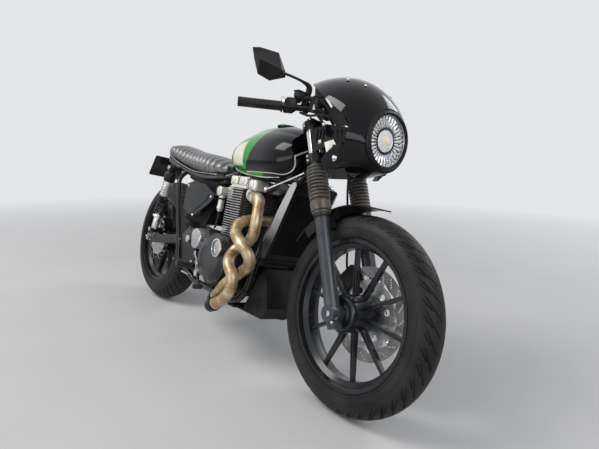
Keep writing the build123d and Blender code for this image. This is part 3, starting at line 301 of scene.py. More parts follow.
# Each row: its name in Blender, base colour, roughness and metal; the two colours, scale and
# low and high roughness of its drift; scale, strength and more of its grain; other sockets
PAINTS = {
    "satin": ("satin_black", (0.012, 0.012, 0.013), 0.35, 0.0,
              ((0.007, 0.007, 0.008), (0.015, 0.015, 0.016), 9, 0.26, 0.38), (900, 0.05),
              {"Specular IOR Level": 0.2}),
    # The wheels' drift colours carry a cool blue tint: painted sky light.
    "wheel": ("wheel_black", (0.02, 0.02, 0.02), 0.3, 0.0,
              ((0.007, 0.008, 0.010), (0.016, 0.018, 0.022), 14, 0.22, 0.34), (700, 0.05),
              {"Specular IOR Level": 0.28, "Coat Weight": 0.2, "Coat Roughness": 0.2}),
    "gloss": ("gloss_black", (0.006, 0.006, 0.007), 0.12, 0.0,
              ((0.002, 0.002, 0.003), (0.005, 0.005, 0.006), 5, 0.08, 0.14), (35, 0.01),
              {"Specular IOR Level": 0.05, "Coat Weight": 1.0, "Coat Roughness": 0.03,
               "Coat IOR": 1.24}),
    "wrinkle": ("wrinkle_black", (0.02, 0.02, 0.02), 0.5, 0.0,
                ((0.009, 0.009, 0.010), (0.020, 0.0195, 0.019), 22, 0.42, 0.62),
                (650, 0.35, 0.0006, "cells"), {"Specular IOR Level": 0.07}),
    "graphite": ("graphite_paint", (0.05, 0.052, 0.055), 0.36, 0.3,
                 ((0.038, 0.040, 0.042), (0.062, 0.064, 0.067), 12, 0.30, 0.44),
                 (800, 0.12, 0.0005), {"Specular IOR Level": 0.35}),
    "cover": ("cover_metallic", (0.01, 0.012, 0.014), 0.2, 0.15,
              ((0.003, 0.0045, 0.006), (0.009, 0.013, 0.017), 1400, 0.22, 0.36), (6, 0.01),
              {"Coat Weight": 1.0, "Coat Roughness": 0.03, "Coat IOR": 1.18,
               "Specular IOR Level": 0.1}),
    "cast": ("cast_metal", (0.78, 0.76, 0.70), 0.38, 0.45,
             ((0.66, 0.64, 0.59), (0.86, 0.84, 0.77), 18, 0.30, 0.46), (500, 0.15, 0.0005), {}),
    "machined": ("machined_metal", (0.7, 0.7, 0.69), 0.25, 1.0,
                 ((0.60, 0.60, 0.59), (0.74, 0.74, 0.73), 30, 0.20, 0.34),
                 (60, 0.05, 0.0004, "noise", (1, 30, 1)), {}),
    "steel": ("brushed_steel", (0.5, 0.5, 0.5), 0.32, 1.0,
              ((0.42, 0.42, 0.42), (0.58, 0.575, 0.57), 25, 0.24, 0.42),
              (90, 0.08, 0.0004, "noise", (1, 25, 1)), {}),
    "chrome": ("chrome_plate", (0.78, 0.78, 0.79), 0.07, 1.0,
               ((0.72, 0.72, 0.73), (0.82, 0.82, 0.83), 20, 0.05, 0.12), (40, 0.01), {}),
    "rubber": ("moulded_rubber", (0.02, 0.02, 0.02), 0.6, 0.0,
               ((0.014, 0.014, 0.015), (0.03, 0.029, 0.028), 26, 0.52, 0.72),
               (900, 0.15, 0.0004), {"Specular IOR Level": 0.2, "Sheen Weight": 0.1}),
    "tyre": ("tyre_rubber", (0.016, 0.016, 0.017), 0.5, 0.0,
             ((0.009, 0.009, 0.010), (0.024, 0.023, 0.022), 12, 0.42, 0.62),
             (1200, 0.25, 0.0004), {"Specular IOR Level": 0.22}),
    "weld": ("weld_bead", (0.45, 0.33, 0.2), 0.4, 0.9,
             ((0.30, 0.20, 0.11), (0.60, 0.46, 0.30), 60, 0.34, 0.5), (), {}),
    "plate": ("plate_dark", (0.03, 0.03, 0.03), 0.5, 0.0,
              ((0.02, 0.02, 0.02), (0.045, 0.045, 0.045), 15, 0.4, 0.6), (300, 0.05),
              {"Specular IOR Level": 0.2}),
    "glass": ("lens_glass", (0.95, 0.95, 0.95), 0.04, 0.0,
              ((0.93, 0.94, 0.95), (0.97, 0.97, 0.97), 8, 0.02, 0.05), (25, 0.01),
              {"Transmission Weight": 1.0, "IOR": 1.45}),
    "lens": ("lamp_lens_fluted", (0.92, 0.93, 0.95), 0.08, 0.0,
             ((0.95, 0.96, 0.97), (0.99, 0.99, 0.99), 30, 0.0, 0.03), (60, 0.01),
             {"Transmission Weight": 1.0, "IOR": 1.3}),
    "bright": ("lamp_silvering", (0.93, 0.94, 0.96), 0.2, 0.8,
               ((0.90, 0.92, 0.95), (0.97, 0.97, 0.97), 30, 0.12, 0.24), (50, 0.02), {}),
    "warm": ("lamp_bulb_glow", (1.0, 0.84, 0.62), 0.3, 0.0,
             ((1.0, 0.74, 0.46), (1.0, 0.95, 0.86), 60, 0.2, 0.35), (60, 0.05),
             {"Emission Strength": 0.12, "Emission Color": (1.0, 0.82, 0.6, 1)}),
    "red": ("tail_lens", (0.35, 0.01, 0.01), 0.12, 0.0,
            ((0.25, 0.006, 0.008), (0.42, 0.015, 0.012), 30, 0.08, 0.2),
            (240, 0.15, 0.0008, "cells"), {"Coat Weight": 1.0}),
    # Dark gaskets, bushes, cores and the lamp's well; the same black is painted shade in the hub's
    # slots and the axle's bores.
    "dark": ("dark_parts_and_painted_shade", (0.012, 0.012, 0.012), 0.6, 0.0,
             ((0.008, 0.008, 0.008), (0.02, 0.02, 0.02), 20, 0.5, 0.75), (400, 0.1),
             {"Specular IOR Level": 0.1}),
    "chain": ("chain_steel", (0.16, 0.15, 0.14), 0.38, 0.9,
              ((0.10, 0.09, 0.085), (0.24, 0.225, 0.21), 60, 0.3, 0.5), (500, 0.1), {}),
    # The sliders' colours are paler and bluer than their black paint: painted sky light.
    "slider": ("slider_black_painted_sky", (0.03, 0.035, 0.045), 0.32, 0.0,
               ((0.020, 0.024, 0.032), (0.038, 0.044, 0.056), 12, 0.28, 0.4), (600, 0.06),
               {"Specular IOR Level": 0.4, "Coat Weight": 0.3, "Coat Roughness": 0.25}),
    "frame": ("frame_gloss", (0.01, 0.01, 0.011), 0.2, 0.0,
              ((0.006, 0.006, 0.007), (0.012, 0.012, 0.013), 8, 0.16, 0.26), (50, 0.02),
              {"Specular IOR Level": 0.2, "Coat Weight": 0.7, "Coat Roughness": 0.08,
               "Coat IOR": 1.4}),
    "silver": ("shock_silver", (0.45, 0.46, 0.47), 0.3, 0.7,
               ((0.38, 0.39, 0.40), (0.52, 0.53, 0.54), 20, 0.24, 0.38), (400, 0.06),
               {"Coat Weight": 0.3}),
    "caliper": ("caliper_black", (0.02, 0.02, 0.022), 0.35, 0.0,
                ((0.014, 0.014, 0.016), (0.03, 0.03, 0.032), 25, 0.28, 0.44), (600, 0.1),
                {"Specular IOR Level": 0.25, "Coat Weight": 0.4}),
    "dial": ("dial_black", (0.012, 0.012, 0.013), 0.5, 0.0,
             ((0.008, 0.008, 0.009), (0.02, 0.02, 0.021), 30, 0.45, 0.6), (600, 0.04),
             {"Specular IOR Level": 0.2}),
    "pale": ("dial_marks", (0.8, 0.8, 0.78), 0.5, 0.0,
             ((0.74, 0.74, 0.72), (0.86, 0.86, 0.84), 200, 0.4, 0.6), (), {}),
    "mirror": ("mirror_glass", (0.88, 0.89, 0.9), 0.02, 1.0,
               ((0.86, 0.87, 0.88), (0.9, 0.91, 0.92), 10, 0.01, 0.04), (10, 0.005), {}),
    # The drift's paler brown is a painted warm highlight, spread at random by the noise.
    "gaiter": ("gaiter_rubber", (0.03, 0.027, 0.025), 0.42, 0.0,
               ((0.020, 0.018, 0.016), (0.085, 0.066, 0.050), 30, 0.30, 0.46),
               (700, 0.12, 0.0004),
               {"Sheen Weight": 0.2, "Coat Weight": 0.4, "Coat Roughness": 0.3}),
}


def make_materials():
    """Every material by its key: the rows above and those with a pattern of their own."""
    made = {
        "leather": ribbed_leather(), "header": header_steel(), "side": side_plate_painted_reflection(),
        "fairing": fairing_lacquer(), "rotor": ground_steel(), "fins": finned_black(),
        "paint": tank_paint(),
    }
    for key, (name, colour, rough, metal, drift, relief, sockets) in PAINTS.items():
        mat = dust_and_light_tint(surface(name, colour, rough, metal, sockets), *drift)
        made[key] = grain(mat, *relief) if relief else mat
    return made


def spot_distance(mat, place):
    """The distance from a point in the row frame, in metres."""
    nodes, links = nodes_of(mat)
    node = nodes.new("ShaderNodeVectorMath")
    node.operation = "DISTANCE"
    links.new(row_coords(mat), node.inputs[0])
    node.inputs[1].default_value = place
    return node.outputs["Value"]


def machine_axis(mat, axis):
    """A coordinate in the upright machine's frame, in millimetres, for a fixed piece."""
    nodes, links = nodes_of(mat)
    back = TO_ROW.inverted()
    dot = nodes.new("ShaderNodeVectorMath")
    dot.operation = "DOT_PRODUCT"
    links.new(row_coords(mat), dot.inputs[0])
    dot.inputs[1].default_value = back[axis][:3]
    return calc(mat, "ADD", dot.outputs["Value"], back[axis][3])


def calc(mat, operation, first, second=None, third=None):
    """A Math node whose inputs are sockets or numbers."""
    nodes, links = nodes_of(mat)
    node = nodes.new("ShaderNodeMath")
    node.operation = operation
    for place, value in enumerate((first, second, third)):
        if value is None:
            continue
        if hasattr(value, "is_linked"):
            links.new(value, node.inputs[place])
        else:
            node.inputs[place].default_value = value
    return node.outputs[0]


def header_steel():
    """Straw-coloured steel that browns in bands beside its welds."""
    mat = surface("header_steel", (0.66, 0.56, 0.42), 0.36, 0.5)
    nearest = None
    for points in (PIPE_RIGHT, PIPE_LEFT):
        for at, _ in weld_places(points):
            away = spot_distance(mat, TO_ROW @ at)
            nearest = away if nearest is None else calc(mat, "MINIMUM", nearest, away)
    streaks = noise_of(mat, 55, 5.0)
    wander = calc(mat, "MULTIPLY_ADD", streaks, 0.014, nearest)
    heat = remap(mat, wander, 0.028, 0.046, 1, 0)
    drift = drift_of(mat, 20)
    base = mix_colour(mat, drift, (0.47, 0.36, 0.22), (0.68, 0.57, 0.40))
    plug(mat, mix_colour(mat, heat, base, (0.36, 0.24, 0.12)), "Base Color")
    plug(mat, remap(mat, streaks, 0.3, 0.7, 0.30, 0.46), "Roughness")
    return grain(mat, 130, 0.10, 0.0006)


def ground_steel():
    """A disc's ground face: fine rings round each axle."""
    mat = surface("rotor_steel", (0.5, 0.5, 0.5), 0.28, 1.0)
    front = spot_distance(mat, TO_ROW @ (FRONT_AXLE + Vector((0, FRONT_DISC_Y, 0))))
    rear = spot_distance(mat, TO_ROW @ (REAR_AXLE + Vector((0, REAR_DISC_Y, 0))))
    away = calc(mat, "MINIMUM", front, rear)
    rings = calc(mat, "SINE", calc(mat, "MULTIPLY", away, 2600.0))
    plug(mat, mix_colour(mat, remap(mat, rings, -1, 1, 0, 1), (0.18, 0.18, 0.185),
                         (0.32, 0.315, 0.31)), "Base Color")
    plug(mat, remap(mat, rings, -1, 1, 0.32, 0.46), "Roughness")
    return mat


def fairing_lacquer():
    """Gloss black outside, dull black on the faces that look inward."""
    mat = surface("fairing_black", (0.004, 0.004, 0.005), 0.1, 0.0,
                  {"Specular IOR Level": 0.05, "Coat Roughness": 0.03, "Coat IOR": 1.3})
    nodes, links = nodes_of(mat)
    out = nodes.new("ShaderNodeVectorMath")
    out.operation = "SUBTRACT"
    links.new(row_coords(mat), out.inputs[0])
    out.inputs[1].default_value = TO_ROW @ Vector((1320, 0, 900))
    dot = nodes.new("ShaderNodeVectorMath")
    dot.operation = "DOT_PRODUCT"
    links.new(out.outputs[0], dot.inputs[0])
    links.new(nodes["place"].outputs["Normal"], dot.inputs[1])
    outer = remap(mat, dot.outputs["Value"], -0.002, 0.002, 0, 1)
    drift = drift_of(mat, 5)
    lacquer = mix_colour(mat, drift, (0.002, 0.002, 0.003), (0.005, 0.005, 0.006))
    plug(mat, mix_colour(mat, outer, (0.012, 0.012, 0.012), lacquer), "Base Color")
    plug(mat, outer, "Coat Weight")
    plug(mat, remap(mat, outer, 0, 1, 0.7, 0.1), "Roughness")
    return grain(mat, 35, 0.01)


def ribbed_leather():
    """Black leather, with a painted highlight along each rib's top and painted shade in the seams.
    """
    mat = surface("seat_leather", (0.03, 0.03, 0.03), 0.4, 0.0,
                  {"Coat Weight": 1.0, "Coat Roughness": 0.32, "Coat IOR": 1.7})
    across = calc(mat, "MULTIPLY_ADD", machine_axis(mat, 0), math.pi / RIB_PITCH,
                  -math.pi * RIB_START / RIB_PITCH)
    # Pale on each rib's top as a painted highlight, near black in the seams as painted shade.
    painted_rib_light = remap(mat, calc(mat, "ABSOLUTE", calc(mat, "SINE", across)), 0.25, 0.95, 0, 1)
    drift = remap(mat, noise_of(mat, 16), 0.35, 0.65, 0.75, 1)
    plug(mat, mix_colour(mat, calc(mat, "MULTIPLY", painted_rib_light, drift), (0.006, 0.006, 0.006),
                         (0.105, 0.105, 0.108)), "Base Color")
    plug(mat, remap(mat, painted_rib_light, 0, 1, 0.6, 0.36), "Roughness")
    return grain(mat, 520, 0.10, 0.0002, "cells")


def side_plate_painted_reflection():
    """The radiator's side plate: dark satin metal, with a painted reflection that makes it pale
    towards the top.
    """
    mat = surface("radiator_side", (0.5, 0.5, 0.5), 0.35, 0.6)
    wander = calc(mat, "MULTIPLY_ADD", noise_of(mat, 40), 60.0, machine_axis(mat, 2))
    # Pale at the top as a painted reflection, blending to the plate's dark colour lower down.
    up = remap(mat, wander, 500, 650, 0, 1)
    plug(mat, mix_colour(mat, up, (0.03, 0.03, 0.032), (0.50, 0.50, 0.49)), "Base Color")
    plug(mat, remap(mat, noise_of(mat, 90), 0.3, 0.7, 0.28, 0.44), "Roughness")
    return grain(mat, 300, 0.08, 0.0004)


FINS_FRONT = 861.0
FINS_REAR = 729.0
FINS_HALF = 131.0


def finned_black():
    """Engine black with the fins' cut edges left bright; on the front face they are dimmed as
    painted shade, and they fade lower down.
    """
    mat = surface("finned_black", (0.03, 0.03, 0.03), 0.45, 0.0, {"Specular IOR Level": 0.22})
    side = calc(mat, "ABSOLUTE", machine_axis(mat, 1))
    along = machine_axis(mat, 0)
    height = machine_axis(mat, 2)
    # The front face's edges reach only a quarter of the brightness: painted shade from the radiator
    # in front.
    ends = calc(mat, "MAXIMUM", remap(mat, along, FINS_FRONT, FINS_FRONT + 0.8, 0, 0.25),
                remap(mat, along, FINS_REAR, FINS_REAR - 0.8, 0, 1))
    edge = calc(mat, "MAXIMUM", remap(mat, side, FINS_HALF, FINS_HALF + 0.8, 0, 1), ends)
    upper = remap(mat, height, 440, 560, 0.35, 1)
    wear = remap(mat, noise_of(mat, 60), 0.3, 0.6, 0.4, 1)
    edge = calc(mat, "MULTIPLY", calc(mat, "MULTIPLY", edge, wear), upper)
    drift = drift_of(mat, 22)
    base = mix_colour(mat, drift, (0.018, 0.018, 0.019), (0.038, 0.037, 0.036))
    plug(mat, mix_colour(mat, edge, base, (0.62, 0.62, 0.60)), "Base Color")
    plug(mat, edge, "Metallic")
    plug(mat, remap(mat, edge, 0, 1, 0.5, 0.3), "Roughness")
    return grain(mat, 650, 0.3, 0.0005, "cells")


# The tank's colours, as lines in the machine's side view
BAND_REAR = (796.0, 722.0)
BAND_SLOPE = 0.602
PANEL = [(676, 749), (706, 836), (792, 856), (790, 748)]
GREEN_END = 945.0
STRIPE_LOW = 727.0
STRIPE_FRONT = 1096.0
STRIPE_CORNER = 60.0


def inside(mat, along, height, outline):
    """How far a point lies inside a convex outline, in millimetres."""
    middle = [sum(p[k] for p in outline) / len(outline) for k in (0, 1)]
    depth = None
    for (x0, z0), (x1, z1) in zip(outline, outline[1:] + outline[:1]):
        a, b = z1 - z0, x0 - x1
        length = math.hypot(a, b)
        a, b = a / length, b / length
        c = -(a * x0 + b * z0)
        if a * middle[0] + b * middle[1] + c < 0:
            a, b, c = -a, -b, -c
        line = calc(mat, "MULTIPLY_ADD", along, a, calc(mat, "MULTIPLY_ADD", height, b, c))
        depth = line if depth is None else calc(mat, "MINIMUM", depth, line)
    return depth


def tank_paint():
    """Black lacquer ahead, metallic green behind, a cream panel and a fine pale line."""
    mat = surface("tank_paint", (0.01, 0.05, 0.012), 0.2, 0.3,
                  {"Specular IOR Level": 0.05, "Coat Weight": 1.0, "Coat Roughness": 0.03,
                   "Coat IOR": 1.26})
    along, height = machine_axis(mat, 0), machine_axis(mat, 2)
    side = calc(mat, "ABSOLUTE", machine_axis(mat, 1))
    flakes = noise_of(mat, 2600, 2.0)
    green = mix_colour(mat, remap(mat, flakes, 0.35, 0.65, 0, 1), (0.012, 0.20, 0.02),
                       (0.05, 0.42, 0.06))
    drift = remap(mat, noise_of(mat, 6), 0.3, 0.7, 0, 1)
    black = mix_colour(mat, drift, (0.002, 0.0025, 0.003), (0.005, 0.0055, 0.007))
    slope = calc(mat, "MULTIPLY_ADD", calc(mat, "SUBTRACT", height, BAND_REAR[1]), -BAND_SLOPE,
                 calc(mat, "SUBTRACT", along, BAND_REAR[0]))
    ahead = remap(mat, slope, -2, 2, 0, 1)
    low_edge = calc(mat, "MAXIMUM", remap(mat, height, STRIPE_LOW - 3, STRIPE_LOW - 1, 0, 1),
                    remap(mat, along, GREEN_END - 25, GREEN_END, 0, 1))
    colour = mix_colour(mat, calc(mat, "MULTIPLY", ahead, low_edge), green, black)
    reach_x = calc(mat, "MAXIMUM", calc(mat, "SUBTRACT", along, STRIPE_FRONT - STRIPE_CORNER), 0.0)
    reach_z = calc(mat, "MAXIMUM", calc(mat, "SUBTRACT", STRIPE_LOW + STRIPE_CORNER, height), 0.0)
    round_out = calc(mat, "SQRT", calc(mat, "ADD", calc(mat, "MULTIPLY", reach_x, reach_x),
                                       calc(mat, "MULTIPLY", reach_z, reach_z)))
    off_line = calc(mat, "ABSOLUTE", calc(mat, "SUBTRACT", round_out, STRIPE_CORNER))
    line = calc(mat, "MULTIPLY", remap(mat, off_line, 0.9, 1.6, 1, 0),
                remap(mat, slope, 0, 4, 0, 1))
    colour = mix_colour(mat, line, colour, (0.72, 0.74, 0.70))
    depth = inside(mat, along, height, PANEL)
    flank = remap(mat, side, 58, 60, 0, 1)
    cream = mix_colour(mat, drift_of(mat, 45), (0.70, 0.66, 0.52),
                       (0.82, 0.80, 0.70))
    panel = calc(mat, "MULTIPLY", remap(mat, depth, 0, 0.8, 0, 1), flank)
    colour = mix_colour(mat, panel, colour, cream)
    rim = calc(mat, "MULTIPLY", remap(mat, calc(mat, "ABSOLUTE", calc(mat, "SUBTRACT", depth, 4.0)),
                                      0.7, 1.3, 1, 0), flank)
    colour = mix_colour(mat, rim, colour, (0.10, 0.20, 0.08))
    plug(mat, colour, "Base Color")
    shine = calc(mat, "MULTIPLY", calc(mat, "SUBTRACT", 1.0, ahead),
                 calc(mat, "SUBTRACT", 1.0, panel))
    plug(mat, calc(mat, "MULTIPLY", shine, 0.55), "Metallic")
    plug(mat, remap(mat, flakes, 0.3, 0.7, 0.16, 0.30), "Roughness")
    return grain(mat, 30, 0.01)


def set_materials():
    """The CAD's own pieces get their materials; no shape is touched."""
    dressed = {
        "satin": "lamp_brackets foot_controls side_stand plate_hanger skid_plate front_fender "
                 "headlamp seat_base handlebar hand_controls mirrors radiator yokes front_caliper "
                 "rear_caliper instrument",
        "frame": "main_frame swingarm",
        "slider": "fork_legs",
        "wheel": "front_wheel rear_wheel",
        "fairing": "fairing",
        "cover": "side_covers",
        "paint": "fuel_tank",
        "wrinkle": "crankcase alternator_cover airbox",
        "fins": "cylinders cylinder_head",
        "cast": "cam_cover throttle_bodies",
        "graphite": "clutch_cover",
        "header": "header_pipes",
        "steel": "front_disc rear_disc rear_sprocket drive_chain front_axle rear_axle",
        "chrome": "stanchions",
        "machined": "rear_shocks",
        "rubber": "fork_gaiters grips brake_hose",
        "tyre": "front_tyre rear_tyre",
        "leather": "seat",
        "glass": "lamp_lens",
        "plate": "number_plate",
    }
    for name, nodes in dressed.items():
        for node in nodes.split():
            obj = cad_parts[node]
            obj.data.materials.clear()
            obj.data.materials.append(MATERIALS[name])


# Forms

class Form:
    """Vertices and faces in the machine's frame, gathered and made into one object."""

    def __init__(self):
        self.verts = []
        self.faces = []

    def add(self, verts, faces, turn=None):
        """Take in a form's vertices and faces, moved by turn."""
        base = len(self.verts)
        self.verts += [turn @ Vector(v) if turn else Vector(v) for v in verts]
        self.faces += [tuple(i + base for i in face) for face in faces]
        return self

    def make(self, name, material, body, replaces=(), smooth=True, angle=34, bevel=0.0):
        """One object in the row frame that rides body and stands for the nodes in replaces."""
        mesh = bpy.data.meshes.new(name)
        mesh.from_pydata([TO_ROW @ v for v in self.verts], [], self.faces)
        shape = bmesh.new()
        shape.from_mesh(mesh)
        bmesh.ops.recalc_face_normals(shape, faces=shape.faces)
        shape.to_mesh(mesh)
        shape.free()
        obj = bpy.data.objects.new(name, mesh)
        bpy.context.scene.collection.objects.link(obj)
        mesh.materials.append(MATERIALS[material])
        if smooth:
            mesh.shade_smooth()
            mesh.set_sharp_from_angle(angle=math.radians(angle))
        if bevel:
            soft = obj.modifiers.new("soft", "BEVEL")
            soft.width = bevel * 0.001
            soft.segments = 2
            soft.limit_method = "ANGLE"
            soft.angle_limit = math.radians(40)
        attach(obj, body)
        if replaces:
            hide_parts(*replaces)
        return obj


def polar(radius, angle):
    """A point in a plane from its distance and angle."""
    return radius * math.cos(angle), radius * math.sin(angle)


def turns(count, phase=0.0):
    """Angles spaced evenly round a circle."""
    return [2 * math.pi * (k + phase) / count for k in range(count)]


def circle(x, y, radius, count):
    """Points spaced evenly on a circle round (x, y)."""
    return [(x + u, y + v) for u, v in (polar(radius, a) for a in turns(count))]


def shift(x, y, z):
    """A move without a turn."""
    return Matrix.Translation((x, y, z))


def basis(axis, up=None):
    """A turn whose Z runs along axis."""
    z = Vector(axis).normalized()
    if up is None:
        up = (0, 0, 1) if abs(z.z) < 0.9 else (1, 0, 0)
    x = Vector(up).cross(z).normalized()
    return Matrix((x, z.cross(x), z)).transposed().to_4x4()


def placed(at, axis=(0, 0, 1), up=None):
    """A place whose Z runs along axis, with Y on the side of up."""
    return Matrix.Translation(Vector(at)) @ basis(axis, up)


def ring_faces(rings, sides, close=False):
    """Faces between neighbouring rings of points, and from last to first if they close."""
    return [(i * sides + k, i * sides + (k + 1) % sides, (i + 1) % rings * sides + (k + 1) % sides,
             (i + 1) % rings * sides + k)
            for i in range(rings if close else rings - 1) for k in range(sides)]


def end_faces(rings, sides):
    """The first and the last ring as faces."""
    return [tuple(range(sides)), tuple(range((rings - 1) * sides, rings * sides))]


def lathe(profile, sides=48, close=False):
    """Rings round the Z axis from (radius, height) pairs."""
    rings = len(profile)
    verts = [(*polar(r, a), h) for r, h in profile for a in turns(sides)]
    faces = ring_faces(rings, sides, close)
    return verts, faces if close else faces + end_faces(rings, sides)


def spun(name, material, body, turn, profile, sides=48, close=False, smooth=True):
    """One turned piece as an object of its own."""
    return Form().add(*lathe(profile, sides, close), turn).make(name, material, body,
                                                                smooth=smooth)


def strip_end(form):
    """The same form without its end faces."""
    verts, faces = form
    return verts, [f for f in faces if len(f) <= 4]


def smooth_line(points, steps=8):
    """A Catmull-Rom line through the points."""
    points = [Vector(p) for p in points]
    ends = [points[0] * 2 - points[1]] + points + [points[-1] * 2 - points[-2]]
    out = []
    for a, b, c, d in zip(ends, ends[1:], ends[2:], ends[3:]):
        for k in range(steps):
            t = k / steps
            out.append(0.5 * (2 * b + (c - a) * t + (2 * a - 5 * b + 4 * c - d) * t * t
                              + (3 * b - a - 3 * c + d) * t ** 3))
    return out + [points[-1]]


def pipe(points, radius, sides=12):
    """A round bar along a dense line; radius is a number or one per point."""
    points = [Vector(p) for p in points]
    count = len(points)
    radii = radius if isinstance(radius, list) else [radius] * count
    verts = []
    side = None
    for i, p in enumerate(points):
        run = (points[min(i + 1, count - 1)] - points[max(i - 1, 0)]).normalized()
        if side is None:
            side = run.orthogonal().normalized()
        side = (side - run * side.dot(run)).normalized()
        other = run.cross(side)
        verts += [p + (side * math.cos(a) + other * math.sin(a)) * radii[i] for a in turns(sides)]
    return verts, ring_faces(count, sides) + end_faces(count, sides)


def bar(start, end, radius, sides=16):
    """A straight round bar."""
    return pipe([start, end], radius, sides)


def block(size, bevel=0.0, steps=2):
    """A box round the origin with rounded edges."""
    shape = bmesh.new()
    bmesh.ops.create_cube(shape, size=1)
    for v in shape.verts:
        v.co = Vector(a * b for a, b in zip(v.co, size))
    if bevel:
        bmesh.ops.bevel(shape, geom=shape.edges[:], offset=bevel, segments=steps, profile=0.5,
                        affect="EDGES")
    out = [v.co.copy() for v in shape.verts], [tuple(v.index for v in f.verts) for f in shape.faces]
    shape.free()
    return out


def slab(outline, near, far):
    """A plate between two heights from an outline in X and Y."""
    count = len(outline)
    verts = [(x, y, near) for x, y in outline] + [(x, y, far) for x, y in outline]
    faces = [tuple(range(count)), tuple(range(count, 2 * count))]
    faces += [(k, (k + 1) % count, (k + 1) % count + count, k + count) for k in range(count)]
    return verts, faces


SIDE_ON = Matrix(((1, 0, 0, 0), (0, 0, -1, 0), (0, 1, 0, 0), (0, 0, 0, 1)))


def side_slab(outline, right, left):
    """A plate drawn in X and Z, between two Y values."""
    verts, faces = slab(outline, -left, -right)
    return [SIDE_ON @ Vector(v) for v in verts], faces


def hexagon(radius, height):
    """A nut's or bolt head's six sides with worn edges."""
    return lathe([(radius * 0.9, 0), (radius, 0.8), (radius, height - 0.8),
                  (radius * 0.86, height)], 6)


def socket_bolt(radius, height):
    """A socket-head screw with its hexagon recess."""
    outer = [(radius * 0.94, 0), (radius, 0.5), (radius, height - 0.7), (radius * 0.9, height),
             (radius * 0.55, height), (radius * 0.5, height - 0.3), (radius * 0.5, height * 0.35),
             (0.01, height * 0.35)]
    return lathe(outer, 18)


def dome_bolt(radius, height):
    """A domed head on a thin washer."""
    arc = [polar(1.0, math.pi / 12 * k) for k in range(6)]
    return lathe([(radius * 1.25, 0), (radius * 1.25, 1)]
                 + [(radius * r, height * h + 1) for r, h in arc] + [(0.01, height + 1)], 20)


def bolts(name, body, places, kind, radius, height, material="machined"):
    """One object with a bolt of the same kind at every place, along its axis."""
    form = Form()
    for at, axis in places:
        form.add(*kind(radius, height), placed(at, axis))
    return form.make(name, material, body)


def both_sides(points, y):
    """Places on both sides of the machine that face outward, from (x, z) pairs."""
    return [((x, side * y, z), (0, side, 0)) for side in (-1, 1) for x, z in points]


def ring_of(centre, radius, y, count, outward, phase=0.0):
    """Places on a circle round a wheel's axle, with their axis outward."""
    return [((centre[0] + u, y, centre[2] + v), (0, outward, 0))
            for u, v in (polar(radius, a) for a in turns(count, phase))]


def twin_slabs(outline, near, far):
    """A plate on each side, between two distances from the machine's middle."""
    form = Form()
    for side in (-1, 1):
        form.add(*side_slab(outline, *sorted((side * near, side * far))))
    return form


def rounded_outline(x0, x1, half, corner, steps=6):
    """A rectangle with rounded corners, centred on Y."""
    right, left, top = x1 - corner, x0 + corner, half - corner
    out = []
    for cx, cy, start in ((right, top, 0), (left, top, 90), (left, -top, 180), (right, -top, 270)):
        for k in range(steps + 1):
            u, v = polar(corner, math.radians(start + 90 * k / steps))
            out.append((cx + u, cy + v))
    return out


def oval(half_long, half_wide, steps=8):
    """A flat oval with straight sides, drawn in X and Y."""
    straight = half_long - half_wide
    right = [(straight + u, v) for u, v in
             (polar(half_wide, math.pi * (k / steps - 0.5)) for k in range(steps + 1))]
    return right + [(-x, -y) for x, y in right]


def flat_plate(name, centre, y, outline, holes, thick, material, body, replaced=()):
    """A flat plate in X and Z with holes, filled as a 2-D curve with softened edges."""
    curve = bpy.data.curves.new(name, "CURVE")
    curve.dimensions = "2D"
    curve.fill_mode = "BOTH"
    curve.extrude = thick / 2 - 0.4
    curve.bevel_depth = 0.4
    curve.bevel_resolution = 1
    for points in [outline] + holes:
        spline = curve.splines.new("POLY")
        spline.points.add(len(points) - 1)
        for point, (x, z) in zip(spline.points, points):
            point.co = (x, z, 0, 1)
        spline.use_cyclic_u = True
    holder = bpy.data.objects.new(name + "_line", curve)
    bpy.context.scene.collection.objects.link(holder)
    depsgraph = bpy.context.evaluated_depsgraph_get()
    mesh = bpy.data.meshes.new_from_object(holder.evaluated_get(depsgraph))
    bpy.data.objects.remove(holder)
    form = Form().add([v.co.copy() for v in mesh.vertices],
                      [tuple(p.vertices) for p in mesh.polygons],
                      shift(centre[0], y, centre[2]) @ SIDE_ON)
    bpy.data.meshes.remove(mesh)
    return form.make(name, material, body, replaced)


# Wheels

WHEEL_TURN = Matrix.Rotation(math.radians(-90), 4, "X")
TREAD = math.radians(60)
TREAD_EDGE = TREAD * 1.12
PITCHES = 42
GROOVE_DEEP = 4.6
GROOVES = [
    # start and end across half the tread, lag, sweep and width in pitches
    (0.08, 0.94, 0.0, 1.7, 0.060),
    (0.50, 1.0, 0.55, 0.8, 0.055),
]
SIDEWALL = [
    # share of the way from the tread to the bead, height of the rib there
    (0.10, 0.0), (0.2, 0.0), (0.26, 0.0), (0.28, 1.3), (0.34, 1.3), (0.36, 0.0), (0.5, 0.0),
    (0.64, 0.0), (0.76, 0.0), (0.78, 1.6), (0.84, 1.6), (0.86, 0.0), (0.93, 0.6), (1.0, 0.0),
]
WHEELS = [
    # axle, tyre's radius and rounding, radius and half width at its bead
    ("front", FRONT_AXLE, 318, FRONT_ROUND, 236, 47),
    ("rear", REAR_AXLE, 320, REAR_ROUND, 224, 64),
]


def groove_depth(theta, phi, pitch):
    """How deep the tread is cut there, from 0 to 1."""
    u = phi / TREAD
    if abs(u) > 1:
        return 0.0
    best = 0.0
    for side, offset in ((1, 0.0), (-1, 0.5)):
        if u * side < -0.1:
            continue
        s = max(u * side, 0.0)
        for start, end, lag, sweep, wide in GROOVES:
            if not start <= s <= end:
                continue
            share = (s - start) / (end - start)
            line = (lag + offset) * pitch + sweep * pitch * share ** 1.3
            gap = (theta - line) % pitch
            gap = min(gap, pitch - gap)
            half = wide * pitch * min(1.0, 4 * share + 0.25, 3.0 * (1 - share) + 0.3)
            best = max(best, min(1.0, (half - gap) / half * 2.2))
    return best


